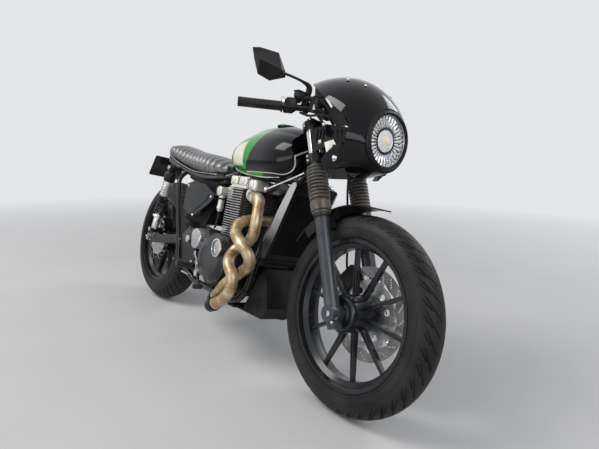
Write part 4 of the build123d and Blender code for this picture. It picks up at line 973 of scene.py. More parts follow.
def tyre(word, centre, radius, half, bead, bead_half):
    """A road tyre: curved grooves, ribbed sidewall and bead."""
    ring = radius - half
    wall_end = math.acos(max(-1.0, (bead + 5 - ring) / half))
    wall = [(TREAD_EDGE + (wall_end - TREAD_EDGE) * share, up) for share, up in SIDEWALL]
    rows = [(-a, up) for a, up in reversed(wall)]
    rows += [(TREAD_EDGE * k / 24, None) for k in range(-24, 25)] + wall
    around, across = PITCHES * 24, len(rows)
    verts = []
    for theta in turns(around):
        c, s = math.cos(theta), math.sin(theta)
        for phi, up in rows:
            if up is None:
                up = -GROOVE_DEEP * groove_depth(theta, phi, 2 * math.pi / PITCHES)
            out = half + up
            r = ring + out * math.cos(phi)
            verts.append((r * c, out * math.sin(phi), r * s))
    faces = []
    for k in range(around):
        here, there = k * across, (k + 1) % around * across
        faces += [(here + i, here + i + 1, there + i + 1, there + i) for i in range(across - 1)]
    form = Form().add(verts, faces, Matrix.Translation(centre))
    lips = [(bead + 5, bead_half + 6), (bead + 1, bead_half - 3), (bead - 3, bead_half - 9)]
    for side in (-1, 1):
        form.add(*strip_end(lathe([(r, side * y) for r, y in lips], 144)),
                 Matrix.Translation(centre) @ WHEEL_TURN)
    form.make(f"{word}_tyre_tread", "tyre", f"{word}_wheel", (f"{word}_tyre",), angle=50)


def rotor_holes(inner, outer, arms=20, per_arm=4):
    """Drillings in slanted rows across the swept band."""
    out = []
    for a in range(arms):
        for k in range(per_arm):
            share = (k + 0.5) / per_arm
            turn = 2 * math.pi * (a + 0.55 * share) / arms
            x, z = polar(inner + 8 + (outer - inner - 14) * share, turn)
            out.append(circle(x, z, 3.8, 12))
    return out


def brake_disc(word, centre, y, outer, inner, hub_r, outward):
    """A drilled rotor on an open carrier, with round buttons between them."""
    body = f"{word}_wheel"
    scallops = [polar(inner + 3.5 * math.cos(10 * a), a) for a in turns(160)]
    flat_plate(f"{word}_rotor", centre, y, circle(0, 0, outer, 96),
               [scallops] + rotor_holes(inner, outer), 5, "rotor", body, (f"{word}_disc",))
    windows = [circle(*polar((hub_r + inner) / 2, a), (inner - hub_r) * 0.15, 28)
               for a in turns(10, 0.5)]
    bore = circle(0, 0, hub_r * 0.45, 28)
    flat_plate(f"{word}_carrier", centre, y, circle(0, 0, inner - 6, 96), windows + [bore], 6,
               "silver", body)
    bolts(f"{word}_buttons", body,
          ring_of(centre, inner - 1, y - 4.5 * outward, 10, outward), button, 8, 9)
    bolts(f"{word}_carrier_bolts", body,
          ring_of(centre, hub_r * 0.72, y + outward * 3, 5, outward), dome_bolt, 5, 4)


def button(radius, height):
    """A flat hollow rivet."""
    return lathe([(radius, 0), (radius, height), (radius * 0.7, height),
                  (radius * 0.7, height * 0.6), (0.01, height * 0.6)], 20)


def make_wheels():
    """Tyres, discs, hub details, valves, rim edges and axle ends."""
    for row in WHEELS:
        tyre(*row)
    brake_disc("front", FRONT_AXLE, FRONT_DISC_Y, 155, 118, 46, 1)
    brake_disc("rear", REAR_AXLE, REAR_DISC_Y, 127, 92, 36, -1)

    hub = Matrix.Translation(FRONT_AXLE)
    spun("front_hub_rings", "wheel", "front_wheel", hub @ WHEEL_TURN,
         [(58.5, 30.9), (60.8, 30.5), (60.8, 26.5), (58.5, 26)], 64, True)
    spun("front_hub_drum", "wheel", "front_wheel", hub @ WHEEL_TURN.inverted(),
         [(16.5, 42), (16.5, 68), (30, 71), (33, 69), (48, 69), (51, 71), (55, 69.5),
          (58, 65), (59.6, 58), (60, 46), (60, 26), (52, 26)], 96, True)
    # Dark ovals laid on the drum stand for the slots: painted shade in place of their hollows.
    slots = Form()
    for a in turns(8, 0.25):
        x, z = polar(58.2, a)
        slots.add(*slab(oval(10, 5.4, 5), 0.2, 2.2),
                  placed(FRONT_AXLE + Vector((x, -54, z)), (x, 0, z), (0, 1, 0)))
    slots.make("front_hub_slot_shade", "dark", "front_wheel")

    valve_way = Vector((*polar(1, math.radians(198)), 0)).xzy
    for word, centre, _, _, bead, half in WHEELS:
        foot = centre + valve_way * (bead - 14) + Vector((0, -6, 0))
        spun(f"{word}_valve", "rubber", f"{word}_wheel",
             placed(foot, -valve_way + Vector((0, -0.6, 0))),
             [(5, 0), (5, 8), (3, 10), (3, 26), (3.8, 26.5), (3.8, 34), (2.5, 35)], 14)
        edge = Form()
        for side in (-1, 1):
            edge.add(*lathe([(bead + 4, half - 1), (bead + 8.4, half + 0.6),
                             (bead + 8.4, half + 2.2), (bead + 6, half + 3),
                             (bead + 2.5, half + 1.4)], 120, True),
                     Matrix.Translation(centre) @ Matrix.Rotation(math.radians(90 * side), 4, "X"))
        edge.make(f"{word}_rim_edges", "wheel", f"{word}_wheel")

    axle, bore, nuts = Form(), Form(), Form()
    for side in (-1, 1):
        end = placed(FRONT_AXLE + SIDE * side * 122, (0, side, 0))
        axle.add(*lathe([(14, -6), (15, -5), (15, -1), (12, 0), (9.4, 0), (8.8, -7), (8, -7)], 32),
                 end)
        # A dark disc a little way inside each hollow axle end: painted shade in the bore.
        bore.add(*lathe([(8.9, -6), (8.8, -5), (3, -5.4), (0.01, -5.4)], 32), end)
        nuts.add(*hexagon(15, 9), placed(REAR_AXLE + SIDE * side * 129, (0, side, 0)))
    axle.make("front_axle_ends", "machined", "steering")
    bore.make("front_axle_bore_shade", "dark", "steering")
    nuts.make("rear_axle_nuts", "machined", "chassis")


# Seat

SEAT_FLOOR = [(-92, 792), (-40, 780), (120, 737), (330, 700), (520, 696), (600, 700)]
SEAT_EDGE = [(-90, 42), (-40, 84), (120, 99), (330, 105), (520, 100), (592, 70)]
RIB_START = -82.0
RIB_PITCH = 43.0
RIB_DEPTH = 11.0


def between(table, x):
    """The value at x, straight between the table's rows."""
    if x <= table[0][0]:
        return table[0][1]
    for (x0, v0), (x1, v1) in zip(table, table[1:]):
        if x <= x1:
            return v0 + (v1 - v0) * (x - x0) / (x1 - x0)
    return table[-1][1]


def smooth_step(value, low, high):
    """From 0 at low to 1 at high, level at both ends."""
    t = min(1.0, max(0.0, (value - low) / (high - low)))
    return t * t * (3 - 2 * t)


def bake(obj):
    """Apply the modifiers to the mesh."""
    depsgraph = bpy.context.evaluated_depsgraph_get()
    mesh = bpy.data.meshes.new_from_object(obj.evaluated_get(depsgraph))
    obj.modifiers.clear()
    obj.data = mesh


def inflate(obj, pressure, frames, most):
    """Blow the cover up as cloth, then hold every point within most metres of its start."""
    start = [v.co.copy() for v in obj.data.vertices]
    cloth = obj.modifiers.new("cloth", "CLOTH")
    settings = cloth.settings
    settings.use_pressure = True
    settings.uniform_pressure_force = pressure
    settings.effector_weights.gravity = 0
    settings.tension_stiffness = 12
    settings.bending_stiffness = 0.6
    scene = bpy.context.scene
    scene.frame_start, scene.frame_end = 1, frames
    for k in range(1, frames + 1):
        scene.frame_set(k)
    bake(obj)
    scene.frame_set(1)
    for v, home in zip(obj.data.vertices, start):
        move = v.co - home
        if move.length > most:
            v.co = home + move * (most / move.length)


def make_seat():
    """The ribbed seat: an inflated cover, then its sewn channels across it."""
    pad = bpy.data.objects.new("seat_pad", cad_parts["seat"].data.copy())
    bpy.context.scene.collection.objects.link(pad)
    remesh = pad.modifiers.new("even", "REMESH")
    remesh.mode = "VOXEL"
    remesh.voxel_size = 0.006
    soften = pad.modifiers.new("soften", "SMOOTH")
    soften.factor = 0.5
    soften.iterations = 14
    bake(pad)
    for v, normal in [(v, v.normal.copy()) for v in pad.data.vertices]:
        v.co -= normal * 0.002
    inflate(pad, 4.0, 20, 0.007)
    even_out = pad.modifiers.new("even_out", "SMOOTH")
    even_out.factor = 0.5
    even_out.iterations = 24
    split = pad.modifiers.new("finer", "SUBSURF")
    split.levels = 1
    bake(pad)
    upright = TO_ROW.inverted()
    for v, normal in [(v, v.normal.copy()) for v in pad.data.vertices]:
        p = upright @ v.co
        across = ((p.x - RIB_START) / RIB_PITCH) % 1.0
        fall = 1.0 - math.sin(math.pi * across) ** 0.55
        rise = smooth_step(p.z - between(SEAT_FLOOR, p.x), 8, 24)
        forward = 15 * smooth_step(p.x, 535, 600) * smooth_step(abs(p.y), 36, 74)
        p.x += forward * smooth_step(p.z, 702, 716)
        v.co = TO_ROW @ p - normal * (0.001 * RIB_DEPTH * fall * rise)
    pad.data.materials.clear()
    pad.data.materials.append(MATERIALS["leather"])
    pad.data.shade_smooth()
    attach(pad, "chassis")
    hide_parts("seat")

    welt = Form()
    for side in (-1, 1):
        line = [(x, side * half, between(SEAT_FLOOR, x) + 4) for x, half in SEAT_EDGE]
        welt.add(*pipe(smooth_line(line, 10), 2.2, 10))
    back = smooth_line([(-90, -42, 799), (-97, -20, 803), (-98, 0, 804), (-97, 20, 803),
                        (-90, 42, 799)], 6)
    welt.add(*pipe(back, 3.2, 10))
    welt.make("seat_welt", "steel", "chassis")


# Tank

CAP_X = 896
TANK_SEAM = [(650, 66, 748), (700, 82, 730), (800, 99, 716), (940, 107, 710), (1030, 98, 717)]


def make_tank_trim():
    """The filler cap's rings and lock, the tank's lower seam, and what fills the gap below it."""
    below = Form()
    below.add(*side_slab([(250, 704), (330, 694), (520, 690), (606, 694), (620, 668), (540, 648),
                          (330, 652), (262, 668)], -84, 84))
    below.add(*side_slab([(690, 704), (690, 752), (1010, 752), (1010, 712), (930, 704)], -24, 24))
    below.make("battery_tray", "plate", "chassis", bevel=3.0)
    cap = Form()
    turn = shift(CAP_X, 0, 927)
    cap.add(*lathe([(46, 0), (47, 1.5), (46, 5), (41, 8), (36.5, 8.4), (36.2, 4)], 72, True), turn)
    cap.add(*lathe([(34, 7), (34, 9.2), (30, 10.6), (12, 11.4), (11.5, 13.4), (8, 14), (0.01, 14)],
                   64), turn)
    cap.make("filler_cap", "satin", "chassis")
    screws = [((x, y, 933), (0, 0, 1)) for x, y in circle(CAP_X, 0, 41, 8)]
    bolts("filler_screws", "chassis", screws, socket_bolt, 2.6, 3.5)
    seam = Form()
    for side in (-1, 1):
        line = [(x, side * half, z) for x, half, z in TANK_SEAM]
        seam.add(*pipe(smooth_line(line, 8), 2.6, 8))
    seam.make("tank_seam", "chrome", "chassis")


# Lamp and fairing

LAMP = Vector((WHEELBASE - 12, 0, 877))
LENS_ROWS = [(80, 5.5), (77, 6.5), (74, 7.5), (66, 8.6), (58, 9.6), (50, 10.4), (42, 11.2),
             (38, 11.6), (34, 11.9), (30, 13.0), (22, 14.0), (12, 14.8), (3, 15.2)]
LAMP_RINGS = [
    # piece, material, radius and height of each ring, sides, closed on itself
    ("lamp_well", "dark", [(79, -5), (36, -8), (35, -4), (36, -3)], 96, True),
    ("lamp_dish", "bright",
     [(36, -3.4), (34.5, -1.8), (33, -3.4), (29, -7), (22, -9), (15, -9)], 96, False),
    ("lamp_bulb", "warm", [(19, -9.5), (18.4, -4.5), (15, -1), (9, 1.6), (0.01, 2.4)], 48, False),
    ("lamp_bezel", "satin",
     [(79.6, 4), (80.5, 11), (83, 15), (88, 16), (93, 13), (96.6, 6), (97.6, -2), (97, -6),
      (90, -3), (82, 0)], 120, True),
    ("lamp_trim", "steel", [(78.4, 6), (79.6, 8.6), (81.6, 9), (82, 6)], 120, True),
]


def fluted(rows, sides, depth, material, name, replaced=(), angle=34):
    """A turned skin whose rings are waved: depth gives each row's height from its angle."""
    ahead = placed(LAMP, (1, 0, 0), (0, 1, 0))
    verts = [(*polar(row[0], a), depth(row, a)) for row in rows for a in turns(sides)]
    faces = ring_faces(len(rows), sides) + end_faces(len(rows), sides)[1:]
    return Form().add(verts, faces, ahead).make(name, material, "steering", replaced, angle=angle)


def make_lamp():
    """The fluted lens with its reflector, petals, bulb and bezel."""
    flutes = 40
    rows = [(r, h, 1.0 if 40 < r < 76 else 0.0) for r, h in LENS_ROWS]
    lens = fluted(rows, 240, lambda row, a: row[1] - 2 + 0.8 * row[2]
                  * abs(math.sin(flutes * a / 2)) ** 0.6, "lens", "lamp_glass", ("lamp_lens",), 60)
    thick = lens.modifiers.new("thick", "SOLIDIFY")
    thick.thickness = 0.0025
    fluted([(79, 2), (72, -8), (60, -22), (44, -34), (26, -42), (8, -45)], 160,
           lambda row, a: row[1] - 1.2 * abs(math.sin(flutes * a / 2)), "bright",
           "lamp_reflector", angle=25)
    ahead = placed(LAMP, (1, 0, 0), (0, 1, 0))
    petals = Form()
    quads = [(4 * i + j, 4 * i + j + 1, 4 * i + j + 5, 4 * i + j + 4)
             for i in range(4) for j in range(3)]
    for a in turns(32):
        rows = []
        for r, half, h in ((37, 2.4, -6), (46, 3.2, -2.4), (58, 4.4, 0.2), (70, 5.4, 1.2),
                           (77, 5.6, 1.0)):
            rows += [(r, -half, h - 2.6), (r, -half * 0.55, h), (r, half * 0.55, h),
                     (r, half, h - 2.6)]
        petals.add(rows, quads, ahead @ Matrix.Rotation(a, 4, "Z"))
    petals.make("lamp_petals", "bright", "steering", angle=50)
    for name, material, profile, sides, close in LAMP_RINGS:
        spun(name, material, "steering", ahead, profile, sides, close)


def twin_plates(word, y, outline, holes, thick, material):
    """The same pierced plate on both sides of the steering."""
    for side, name in ((-1, "right"), (1, "left")):
        flat_plate(f"{word}_{name}", (0, 0, 0), side * y, outline, holes, thick, material,
                   "steering")


def make_cheeks():
    """Gloss cheek plates on the lamp stays, with three raked slots in each."""
    slots = [[(x, 884), (x + 9, 883), (x + 17, 857), (x + 8, 857)] for x in (1322, 1342, 1362)]
    twin_plates("lamp_cheek", 121, [(1266, 904), (1300, 900), (1378, 890), (1384, 878),
                                    (1378, 852), (1352, 842), (1306, 852), (1272, 868)],
                slots, 2.6, "gloss")


SEAM_AT = (1337.0, 832.0)
SEAM_RISE = 0.115
BOWL_Z = 892.0
BOWL_FRONT = 1430.0
BOWL_REACH_X = 1400.0
BOWL_AROUND = 48
BOWL_ALONG = 22
# height, and where the bowl's rear edge is there
BOWL_REAR = [(752, 1416), (765, 1406), (777, 1350), (789, 1292), (805, 1288), (832, 1337),
             (860, 1340)]


def make_bowl():
    """The satin bowl under the lamp, laid over the fairing's lower half and drawn back."""
    back = TO_ROW.inverted()
    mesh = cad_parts["fairing"].data
    skin = BVHTree.FromPolygons([back @ v.co for v in mesh.vertices],
                                [tuple(p.vertices) for p in mesh.polygons])

    def reach(x, angle):
        """The skin's distance from the bowl's middle line, seen from outside."""
        way = Vector((0, math.cos(angle), -math.sin(angle)))
        centre = Vector((x, 0, BOWL_Z))
        hit = skin.ray_cast(centre + way * 260, -way)[0]
        return (hit - centre).length if hit else None

    def surface_at(x, angle):
        """The skin's distance there, or further ahead where the fairing has ended."""
        here = reach(x, angle)
        return here if here and here > 60 else reach(BOWL_REACH_X, angle)

    rings = []
    for i in range(BOWL_ALONG + 1):
        ring = []
        for k in range(BOWL_AROUND + 1):
            turn = k / BOWL_AROUND * 2 - 1
            angle = math.pi / 2 + turn * (math.pi / 2 - 0.1)
            for _ in range(5):
                rear = between(BOWL_REAR, BOWL_Z - 140 * math.sin(angle))
                x = BOWL_FRONT + (rear - BOWL_FRONT) * i / BOWL_ALONG
                top = SEAM_AT[1] + SEAM_RISE * (x - SEAM_AT[0])
                low = math.asin(min(0.9, (BOWL_Z - top) / surface_at(x, angle)))
                angle = math.pi / 2 + turn * (math.pi / 2 - low)
            ring.append((x, surface_at(x, angle), angle))
        rings.append(ring)
    verts = [(x, (r + push) * math.cos(angle), BOWL_Z - (r + push) * math.sin(angle))
             for push in (1.4, -2.2) for ring in rings for x, r, angle in ring]
    wide = BOWL_AROUND + 1
    layer = wide * (BOWL_ALONG + 1)
    faces = []
    for i in range(BOWL_ALONG):
        for k in range(BOWL_AROUND):
            a = i * wide + k
            quad = (a, a + 1, a + wide + 1, a + wide)
            faces += [quad, tuple(q + layer for q in quad)]
        for a in (i * wide, i * wide + BOWL_AROUND):
            faces.append((a, a + wide, a + wide + layer, a + layer))
    for k in range(BOWL_AROUND):
        for a in (k, BOWL_ALONG * wide + k):
            faces.append((a, a + 1, a + 1 + layer, a + layer))
    Form().add(verts, faces).make("lamp_bowl_cover", "satin", "steering", angle=50)


def make_fairing_trim():
    """Screws, studs and the dome nuts that hold the fairing and its stays."""
    screws = []
    for side in (-1, 1):
        screws += [((1352, side * 62, 1043), (0.35, side * 0.35, 0.87)),
                   ((1290, side * 86, 1062), (0.1, side * 0.5, 0.86))]
    bolts("fairing_screws", "steering", screws, dome_bolt, 4.2, 2.6)
    domes = Form()
    for side in (-1, 1):
        for (x, y, z), radius, height in (((1337, 122.6, 794), 9, 8), ((1250, 119, 905), 6, 5),
                                          ((1247, 119, 846), 6, 5)):
            domes.add(*dome_bolt(radius, height), placed((x, side * y, z), (0, side, 0)))
    domes.make("stay_nuts", "machined", "steering")
    stay = twin_slabs([(1274, 843), (1314, 853), (1340, 828), (1330, 806), (1298, 801)], 119.4, 123)
    stay.make("stay_plates", "cast", "steering", bevel=1.0)


# Fork

def bellows(low, high, base, ribs, inner, outer):
    """A gaiter's profile: collar, rounded ribs and top collar."""
    rows = [(20.6, low + 8), (24.7, low + 8), (24.7, low), (outer - 6, low), (outer - 4.5, low + 4),
            (outer - 4.5, low + 10), (outer - 2.5, low + 14), (outer - 1.5, base - 8)]
    pitch = (high - 22 - base) / ribs
    for k in range(ribs):
        for step in range(8):
            t = step / 8
            rows.append((inner + (outer - inner) * abs(math.sin(math.pi * t)) ** 0.65,
                         base + (k + t) * pitch))
    rows += [(inner, high - 22), (outer - 4, high - 18), (outer - 3, high - 14),
             (outer - 3, high - 4), (outer - 5, high), (20.6, high)]
    return rows


def make_fork():
    """Gaiters with their bands, caps, clamp bolts, the stem's nut and rings on the sliders."""
    rubber, bands, caps, seals = Form(), Form(), Form(), Form()
    clamps = []
    for side in (-1, 1):
        turn = STEER_TURN @ shift(FORK_AHEAD, side * FORK_HALF, 0)
        rubber.add(*lathe(bellows(655, 822, 703, 8, 27, 36), 56), turn)
        for z, r in ((663, 31.8), (814, 33.4)):
            bands.add(*lathe([(r, -3), (r + 1, -2.4), (r + 1, 2.4), (r, 3)], 48, True),
                      turn @ shift(0, 0, z))
        caps.add(*lathe([(20.4, 996), (20.4, 999), (17.5, 1001), (17.5, 1000), (12, 1000)], 40),
                 turn)
        caps.add(*hexagon(10, 7), turn @ shift(0, 0, 999))
        caps.add(*lathe([(6, 1004), (6, 1012), (4.5, 1013)], 24), turn)
        seals.add(*lathe([(24, 640), (27, 641), (27, 648), (24, 649)], 48, True), turn)
        clamps += [(steer(z, side * 132, FORK_AHEAD), SIDE * side) for z in (840, 856, 970, 980)]
        clamps.append((FRONT_AXLE + Vector((26, side * 122, -20)), (0, side, 0)))
    rubber.make("gaiter_bellows", "gaiter", "steering", ("fork_gaiters",))
    bands.make("gaiter_bands", "rubber", "steering")
    caps.make("fork_caps", "machined", "steering")
    bolts("fork_clamp_bolts", "steering", clamps, socket_bolt, 4.6, 5)
    stem = Form().add(*hexagon(19, 9), STEER_TURN @ shift(0, 0, 988))
    stem.add(*lathe([(12, 996), (12, 1000), (9, 1001.5), (6, 1001), (5.5, 994), (0.01, 994)], 32),
             STEER_TURN)
    stem.make("stem_nut", "machined", "steering")
    seals.make("slider_rings", "satin", "steering")


# Rear shocks

def helix(coils, radius, wire, start, end, turn):
    """A coil spring along Z whose first and last coils lie flat."""
    count = int(coils * 26)
    points = []
    for k in range(count + 1):
        share = k / count
        flat = smooth_step(share, 0, 0.09) + smooth_step(share, 0.91, 1.0)
        height = start + (end - start) * (0.06 * flat + 0.88 * share)
        points.append(turn @ Vector((*polar(radius, 2 * math.pi * coils * share), height)))
    return pipe(points, wire, 10)


def make_shocks():
    """Twin shocks: black top can, grey body, black coil and silver lower body."""
    parts = {"dark": Form(), "silver": Form(), "satin": Form(), "machined": Form()}
    for side in (-1, 1):
        low, high = (Vector((x, side * SHOCK_HALF, z)) for x, z in (SHOCK_LOW, SHOCK_TOP))
        turn = placed(low, high - low, (0, 1, 0))
        top = (high - low).length
        parts["machined"].add(*lathe([(17, 8), (18, 20), (18, 84), (16, 88), (9, 90), (9, 150)]),
                              turn)
        parts["machined"].add(*lathe([(18, 70), (26.5, 72), (28, 75), (28, 80), (24, 84), (18, 84)],
                                     48, True), turn)
        parts["silver"].add(*lathe([(23, top - 152), (25.5, top - 148), (25.5, top - 66),
                                    (23, top - 62), (10, top - 62)], 56), turn)
        parts["satin"].add(*lathe([(26.5, top - 70), (28.6, top - 66), (28.8, top - 34),
                                   (26, top - 26), (16, top - 16), (10, top - 12)], 56), turn)
        for k in range(5):
            z = top - 142 + k * 14
            parts["silver"].add(*lathe([(25.4, z), (26.6, z + 1.5), (26.6, z + 3), (25.4, z + 4.5)],
                                       56, True), turn)
        parts["satin"].add(*helix(7, 23.2, 4.2, 84, top - 152, turn))
        for (x, z), cap_y in ((SHOCK_LOW, 170), (SHOCK_TOP, 165)):
            eye = placed((x, side * SHOCK_HALF, z), (0, 1, 0))
            parts["satin"].add(*lathe([(17, -14), (18, -12), (18, 12), (17, 14), (11.5, 14),
                                       (11.5, -14)], 40, True), eye)
            parts["dark"].add(*lathe([(11.5, -14.6), (11.5, 14.6), (8.3, 14.6), (8.3, -14.6)], 32,
                                     True), eye)
            parts["machined"].add(*hexagon(11.5, 7), placed((x, side * cap_y, z), (0, side, 0)))
    for material, form in parts.items():
        form.make(f"shock_{material}", material, "chassis",
                  ("rear_shocks",) if material == "silver" else ())


# Engine

# The headers' centre lines, from the ports down
PIPE_RIGHT = [(870, -88, 628), (914, -88, 628), (952, -110, 540), (950, -112, 462),
              (884, -146, 408), (928, -189, 364), (990, -190, 320), (980, -188, 262),
              (935, -184, 222), (893, -182, 200)]
PIPE_LEFT = [(870, 88, 628), (914, 88, 628), (912, 66, 556), (892, 0, 540), (887, -98, 536),
             (894, -152, 516), (915, -172, 478), (985, -182, 448), (1036, -166, 412),
             (1000, -136, 368), (940, -138, 326), (906, -158, 290), (868, -158, 248),
             (828, -148, 216)]


def weld_places(points):
    """The middles of the straight runs, where the bends are welded together."""
    points = [Vector(p) for p in points[1:]]
    return [((a + b) / 2, (b - a).normalized()) for a, b in zip(points, points[1:])]


def make_headers():
    """Weld beads, port flanges with their nuts, and the black collars at the ends."""
    beads, collars = Form(), Form()
    bead = [(22.3 + r, h * 2.4) for r, h in (polar(1.0, a) for a in turns(8))]
    verts, faces = lathe(bead, 48, True)
    ripple = [1 + 0.012 * math.cos(13 * math.atan2(y, x)) for x, y, _ in verts]
    verts = [(x * wave, y * wave, z) for (x, y, z), wave in zip(verts, ripple)]
    for points in (PIPE_RIGHT, PIPE_LEFT):
        for at, way in weld_places(points)[:-1]:
            beads.add(verts, faces, placed(at, way))
        end = Vector(points[-1])
        turn = placed(end, end - Vector(points[-2]))
        collars.add(*lathe([(25.2, 8), (26.2, 10), (26.2, 50), (25.4, 52.4), (23.0, 52.4),
                            (22.2, 50), (22.2, 12)], 56, True), turn)
        collars.add(*lathe([(26, 15), (28.4, 16), (28.4, 24), (26, 25)], 56, True), turn)
    beads.make("header_welds", "weld", "chassis")
    flange, nuts = Form(), Form()
    for side in (-1, 1):
        turn = placed((871, side * 88, PORT_Z), (1, 0, 0), (0, 0.5, 0.86))
        flange.add(*slab(oval(41, 27, 10), 0, 8), turn)
        flange.add(*lathe([(27, 8), (27, 12), (24, 15), (22.3, 15)], 40), turn)
        for across in (-33, 33):
            nuts.add(*hexagon(7, 8), turn @ shift(across, 0, 8))
            nuts.add(*lathe([(3.6, 14), (3.6, 23), (2.8, 24)], 16), turn @ shift(across, 0, 0))
    flange.make("port_flanges", "cast", "chassis", bevel=1.2)
    nuts.make("port_nuts", "machined", "chassis")
    collars.make("header_collars", "satin", "chassis")


# The clutch cover's and the small cap's middle in the side view
CLUTCH_AT = (765, 352)
CAP_AT = (673, 372)


def cover_ring(cx, cz, radius, count, y, skip=()):
    """Places for screws round a cover's rim, without the ones in skip."""
    places = ring_of((cx, 0, cz), radius, y, count, 1 if y > 0 else -1, 0.5)
    return [place for k, place in enumerate(places) if k not in skip]


def make_engine():
    """Screws, caps and rings on the engine's covers."""
    screws = cover_ring(*CLUTCH_AT, 96, 10, -160, (1, 2))
    screws += cover_ring(*CAP_AT, 45, 8, -146, (7, 0, 1)) + cover_ring(795, 344, 80, 9, 164)
    bolts("case_screws", "chassis", screws, socket_bolt, 4.6, 6)
    insert = placed((831, -194, 404), (0, -1, 0), (0, 0, 1))
    spun("clutch_insert", "machined", "chassis", insert,
         [(36.4, -5), (36.8, 0.4), (34, 1.6), (29, 1.6), (28.2, 0), (28.2, -7)], 72, True)
    spun("clutch_insert_plate", "silver", "chassis", insert,
         [(28, -8), (27.6, -3.5), (25, -1.6), (14, -1.0), (12.5, -2.6), (0.01, -2.6)], 64)
    cap = Form()
    cap.add(*lathe([(44, -2), (45, 0), (45, 3), (41, 5), (20, 6.4), (8, 6.4), (7, 8.5),
                    (0.01, 8.5)], 64), placed((CAP_AT[0], -146, CAP_AT[1]), (0, -1, 0)))
    cap.add(*lathe([(46, -50), (46, -6), (44, -1), (37, 2.6), (20, 6), (0.01, 7)], 64),
            placed((572, -156, 404), (0, -1, 0)))
    cap.make("output_cap", "silver", "chassis")
    spun("clutch_crown", "graphite", "chassis",
         placed((CLUTCH_AT[0], -186, CLUTCH_AT[1]), (0, -1, 0)),
         [(80, -4), (81, 0), (76, 3), (50, 8.6), (44, 9), (43, 7), (0.01, 7)], 72)


def make_head():
    """The cam cover's bolts and round ends, the gasket line, and the plugs with their leads."""
    cover_bolts = [((x, side * y, 700), (0, 0, 1)) for side in (-1, 1)
                   for x, y in ((758, 100), (832, 100), (764, 40), (826, 40))]
    bolts("cam_cover_bolts", "chassis", cover_bolts, dome_bolt, 5.5, 5)
    ends = Form()
    for side in (-1, 1):
        for x0, x1 in ((738, 788), (803, 856)):
            middle = (x0 + x1) / 2
            ends.add(*block((x1 - x0, 13, 36), 6, 3), shift(middle, side * 122, 684))
            ends.add(*lathe([(11, 0), (12, 1), (12, 3), (9, 4.4), (0.01, 4.8)], 36),
                     placed((middle, side * 128, 684), (0, side, 0)))
        ends.add(*block((50, 58, 44), 12, 4), shift(882, side * 88, 674))
        ends.add(*lathe([(13, 0), (14, 1), (14, 4), (10, 6), (0.01, 6.4)], 36),
                 placed((884, side * 116, 676), (0, side, 0)))
    ends.make("cam_ends", "cast", "chassis")
    gasket = Form().add(*slab(rounded_outline(737, 855, 122, 15), 666, 668.4))
    gasket.make("cam_gasket", "dark", "chassis")
    plugs, leads = Form(), Form()
    for side in (-1, 1):
        at, way = Vector((866, side * 34, 636)), Vector((0.72, side * 0.1, 0.69))
        plugs.add(*lathe([(6, -22), (6, 0), (9.4, 2), (9.4, 22), (7, 26), (5, 30)], 24),
                  placed(at, way))
        leads.add(*pipe(smooth_line([at + way * 28, at + way * 44, (882, side * 34, 712),
                                     (846, side * 30, 742), (812, side * 28, 746)], 6), 3.4, 10))
    plugs.make("plug_caps", "rubber", "chassis")
    leads.make("plug_leads", "rubber", "chassis")


INTAKE_X = 672


def make_intakes():
    """Clamp bands, caps, linkage and hoses on the throttle bodies."""
    metal, dark = Form(), Form()
    for side in (-1, 1):
        out = (0, side, 0)
        for x in (702, 640):
            metal.add(*lathe([(25.4, -5), (27, -4.4), (27, 4.4), (25.4, 5)], 40, True),
                      placed((x, side * 62, PORT_Z), (1, 0, 0)))
            metal.add(*block((12, 8, 8), 1.2), shift(x, side * 62, PORT_Z + 30.4))
        metal.add(*lathe([(20.6, -1), (21.4, 0), (21.4, 4), (17, 6), (6, 6.6), (5, 9), (0.01, 9)],
                         40), placed((INTAKE_X, side * 132, PORT_Z), out))
        for k in range(3):
            u, v = polar(15, math.radians(120 * k + 30))
            metal.add(*socket_bolt(3, 4), placed((INTAKE_X + u, side * 137, PORT_Z + v), out))
        metal.add(*lathe([(12.6, 0), (14, 1), (14, 12), (12, 14), (9, 24), (4, 26)], 32),
                  placed((INTAKE_X, side * 118, 566), (0, 0, -1)))
        dark.add(*lathe([(14.5, 0), (15.5, 1), (15.5, 7), (14.5, 8)], 32),
                 placed((INTAKE_X, side * 118, 600), (0, 0, -1)))
        dark.add(*pipe(smooth_line([(INTAKE_X, side * 118, 542), (674, side * 119, 520),
                                    (664, side * 116, 490), (640, side * 108, 468)], 8), 5, 12))
    metal.add(*bar((INTAKE_X, -58, 652), (INTAKE_X, 58, 652), 5))
    metal.make("intake_fittings", "cast", "chassis")
    dark.make("intake_hoses", "rubber", "chassis")


# Chain and sprocket

CHAIN_Y = 90.0
LINKS = 108
TEETH = 44


def chain_pins(count):
    """Points spaced evenly along the chain's pitch line, with their distance."""
    rear, front = REAR_AXLE + SIDE * CHAIN_Y, Vector((600, CHAIN_Y, 380))
    big, small = 111.0, 45.5
    span = front - rear
    base = math.atan2(span.z, span.x)
    spread = math.acos((big - small) / span.length)
    straight = math.sqrt(span.length ** 2 - (big - small) ** 2)
    upper, lower = base + spread, base - spread
    arc_front = small * 2 * spread
    total = 2 * straight + arc_front + big * (2 * math.pi - 2 * spread)

    def on(centre, radius, angle):
        """A point on a sprocket's pitch circle."""
        return centre + Vector((math.cos(angle), 0, math.sin(angle))) * radius

    pins = []
    for k in range(count):
        d = k * total / count
        if d < straight:
            pin = on(rear, big, upper).lerp(on(front, small, upper), d / straight)
        elif d < straight + arc_front:
            pin = on(front, small, upper - (d - straight) / small)
        elif d < 2 * straight + arc_front:
            share = (d - straight - arc_front) / straight
            pin = on(front, small, lower).lerp(on(rear, big, lower), share)
        else:
            pin = on(rear, big, lower - (d - 2 * straight - arc_front) / big)
        pins.append(pin)
    return pins, total / count


